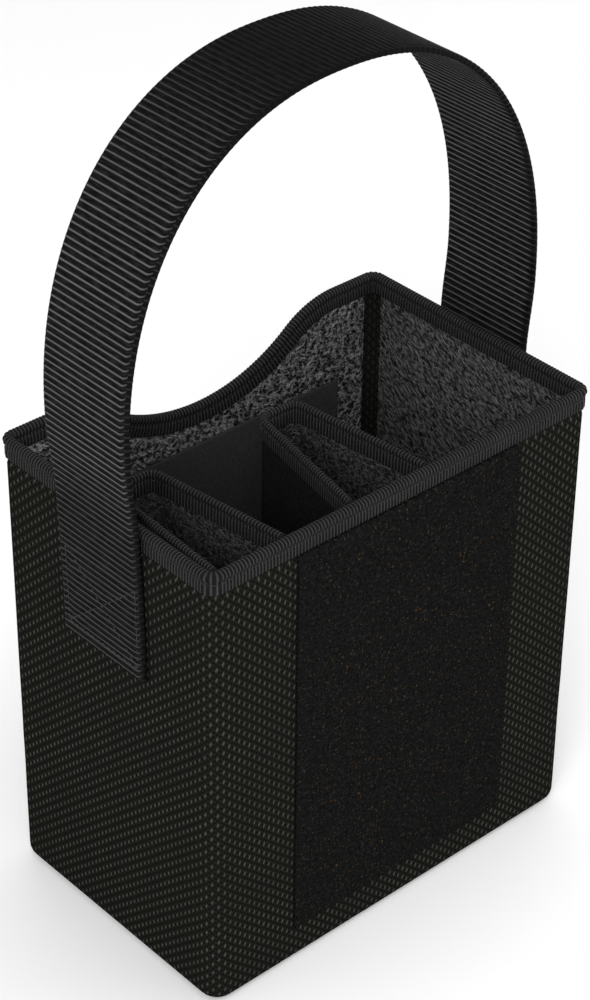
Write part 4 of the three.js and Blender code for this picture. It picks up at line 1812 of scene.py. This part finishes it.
    def stitch_dent(self, track: Track, section: np.ndarray) -> np.ndarray:
        """How far the webbing is pulled in by the stitches: a soft dip round each line.

        Args:
            track: The strip's centre line.
            section: The strip in section.

        Returns:
            A depth for each ring and section point.
        """
        y = np.broadcast_to(section[:, 1], (len(track.points), len(section)))
        z = np.broadcast_to(track.points[:, 2:3], y.shape)
        here = np.stack([y, z], axis=-1)
        nearest = np.full(y.shape, 1.0)
        for a, b in self.stitch_lines():
            way = b - a
            share = np.clip(((here - a) @ way) / (way @ way), 0, 1)
            nearest = np.minimum(nearest, np.linalg.norm(here - a - share[..., None] * way, axis=-1))
        outer = section[:, 0][None] > 0
        return 0.3 * MM * np.exp(-((nearest / (0.9 * MM)) ** 2)) * outer

    def stitches(self, sign: int) -> Piece:
        """Stitches along the box and its cross on one end wall.

        Args:
            sign: -1 for the left end, 1 for the right.

        Returns:
            The stitches, in one piece.
        """
        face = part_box("strap_right_leg")[1].x
        centres, along = [], []
        for a, b in self.stitch_lines():
            count = int(np.linalg.norm(b - a) / STITCH_PITCH)
            share = (np.arange(count) + 0.5)[:, None] / count
            centres.append(a + (b - a) * share)
            along.append(np.tile(unit(b - a), (count, 1)))
        flat, way = np.concatenate(centres), np.concatenate(along)
        side = np.full(len(flat), sign * (face - 0.4 * MM))
        points = np.stack([side, flat[:, 0] + self.shift(side, flat[:, 1]), flat[:, 1]], axis=1)
        heading = np.stack([np.zeros(len(way)), way[:, 0], way[:, 1]], axis=1)
        up = np.tile([float(sign), 0.0, 0.0], (len(flat), 1))
        word = "left" if sign < 0 else "right"
        piece = beads(f"strap_{word}_box_stitches", points, heading, up, (2.4 * MM, 0.6 * MM, 0.6 * MM))
        SEWING_THREAD.dress(piece)
        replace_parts(piece, f"strap_{word}_stitching")
        return piece


# ---------------------------------------------------------------- stage


@dataclass(frozen=True)
class Studio:
    """The floor, the soft lights and the camera."""

    azimuth: float = -42.1166
    elevation: float = 34.3127
    roll: float = 0.01135
    distance: float = 1.09579
    lens: float = 97.07
    aim: Triple = (6.94 * MM, 9.7 * MM, 162.16 * MM)

    def camera(self) -> None:
        """Looks down on the front left corner with a long lens."""
        data = bpy.data.cameras.new("camera")
        data.lens = self.lens
        data.sensor_width = 36.0
        data.clip_start = 0.01
        camera = bpy.data.objects.new("camera", data)
        bpy.context.scene.collection.objects.link(camera)
        a, e = math.radians(self.azimuth), math.radians(self.elevation)
        back = Vector((math.sin(a) * math.cos(e), -math.cos(a) * math.cos(e), math.sin(e)))
        right = Vector((0, 0, 1)).cross(back).normalized()
        up = back.cross(right)
        c, s = math.cos(self.roll), math.sin(self.roll)
        turned = Matrix((right * c + up * s, up * c - right * s, back)).transposed().to_4x4()
        camera.matrix_world = Matrix.Translation(Vector(self.aim) + back * self.distance) @ turned
        bpy.context.scene.camera = camera

    def area_light(self, name: str, place: Triple, size: float, power: float) -> None:
        """A square soft light that faces the caddy.

        Args:
            name: Its name.
            place: Where it stands.
            size: Side of the square.
            power: In watts.
        """
        data = bpy.data.lights.new(name, "AREA")
        data.size = size
        data.energy = power
        light = bpy.data.objects.new(name, data)
        bpy.context.scene.collection.objects.link(light)
        light.location = place
        light.rotation_euler = (Vector((0, 0, 0.15)) - Vector(place)).to_track_quat("-Z", "Y").to_euler()

    def floor(self) -> None:
        """A plain pale floor under everything."""
        reach, below = 6.0, -0.2 * MM
        corners = ((-1, -1), (1, -1), (1, 1), (-1, 1))
        points = np.array([[x * reach, y * reach, below] for x, y in corners])
        floor = build_mesh("floor", points, [np.array([[0, 1, 2, 3]])], [np.zeros((1, 4, 2))])
        n = Nodes("pale_floor")
        colour = n.mix(n.noise(n.place(), 0.002, 2.0), grey(0.86), grey(0.9))
        floor.data.materials.append(n.finish(colour, 0.7, Specular_IOR_Level=0.2))

    def world(self) -> None:
        """An even pale surround."""
        world = bpy.data.worlds.new("surround")
        world.use_nodes = True
        background = world.node_tree.nodes["Background"]
        background.inputs["Color"].default_value = (1.0, 1.0, 1.0, 1.0)
        background.inputs["Strength"].default_value = 0.85
        bpy.context.scene.world = world

    def build(self) -> None:
        """Sets the stage."""
        self.camera()
        self.floor()
        self.world()
        self.area_light("key", (-1.2, -1.0, 1.3), 0.9, 22.0)
        self.area_light("fill", (1.5, -1.0, 1.1), 1.2, 12.0)
        self.area_light("top", (0.2, 0.3, 1.9), 0.8, 2.0)
        bpy.context.scene.view_settings.view_transform = "Standard"


# ---------------------------------------------------------------- assembly


def ride_all(pieces: list[Piece], body: str) -> None:
    """Puts pieces on a body, apart from those that blend between bodies, and reports each.

    Args:
        pieces: The pieces.
        body: The body they move with.
    """
    for piece in pieces:
        if "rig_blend" not in piece:
            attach(piece, body)
        LOG.info("%s: %d faces", piece.name, len(piece.data.polygons))


def dress_boards() -> None:
    """Gives the hidden boards, which stay as the frame made them, their own finish."""
    for node in ("base_board", "front_board", "back_board", "left_board", "right_board"):
        STIFFENER.dress(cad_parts[node])


def main() -> None:
    """Builds the caddy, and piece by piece."""
    logging.basicConfig(level=logging.INFO, format="%(name)s %(message)s")
    Studio().build()
    shape = Shape()
    dress_boards()
    ride_all(MeshBody(shape).build(), BODY)
    linings = [
        WallLining(shape, Side.FRONT, seed=41),
        WallLining(shape, Side.BACK, crumple=1.0 * MM, crease=24 * MM, seed=52),
        WallLining(shape, Side.LEFT, seed=63),
        WallLining(shape, Side.RIGHT, crumple=0.45 * MM, crease=9 * MM, slant=0.9, seed=74,
                   cloth=STREAKED_LINING),
    ]
    ride_all([lining.build() for lining in linings], BODY)
    ride_all([BaseLining().build()], BODY)
    panels = [
        LoopPanel("front_loop_panel", "front_loop_field", FLECKED_LOOP, "front_board", tuck=0.9 * MM),
        LoopPanel("inner_loop_panel", "inner_loop_field", PAINTED_LIGHT_LOOP, "back_board"),
    ]
    ride_all([panel.build() for panel in panels], BODY)
    tape = BindingTape(
        "rim_tape", roll_half=2.35 * MM, hem_out=1.8 * MM, hem_in=2.45 * MM, thickness=0.7 * MM,
        drop_out=shape.tape_drop, drop_in=9 * MM, roll_drop=4.2 * MM,
    )
    rim = shape.rim_track()
    ride_all([tape.build(rim, "rim_binding"), tape.stitches(rim)], BODY)
    pockets = [
        Pocket(shape, "left_pocket", seed=81, middle=-77.2 * MM, lean=-0.036,
               half_front=16.5 * MM, half_far=10.1 * MM, far_y=6.4 * MM),
        Pocket(shape, "middle_pocket", seed=92, middle=-7.5 * MM, lean=0.041,
               half_front=19.5 * MM, half_far=9.1 * MM, far_y=7.5 * MM),
    ]
    for pocket in pockets:
        ride_all(pocket.build(), BODY)
    ride_all(Strap(shape).build(), BODY)


if __name__ == "__main__":
    main()
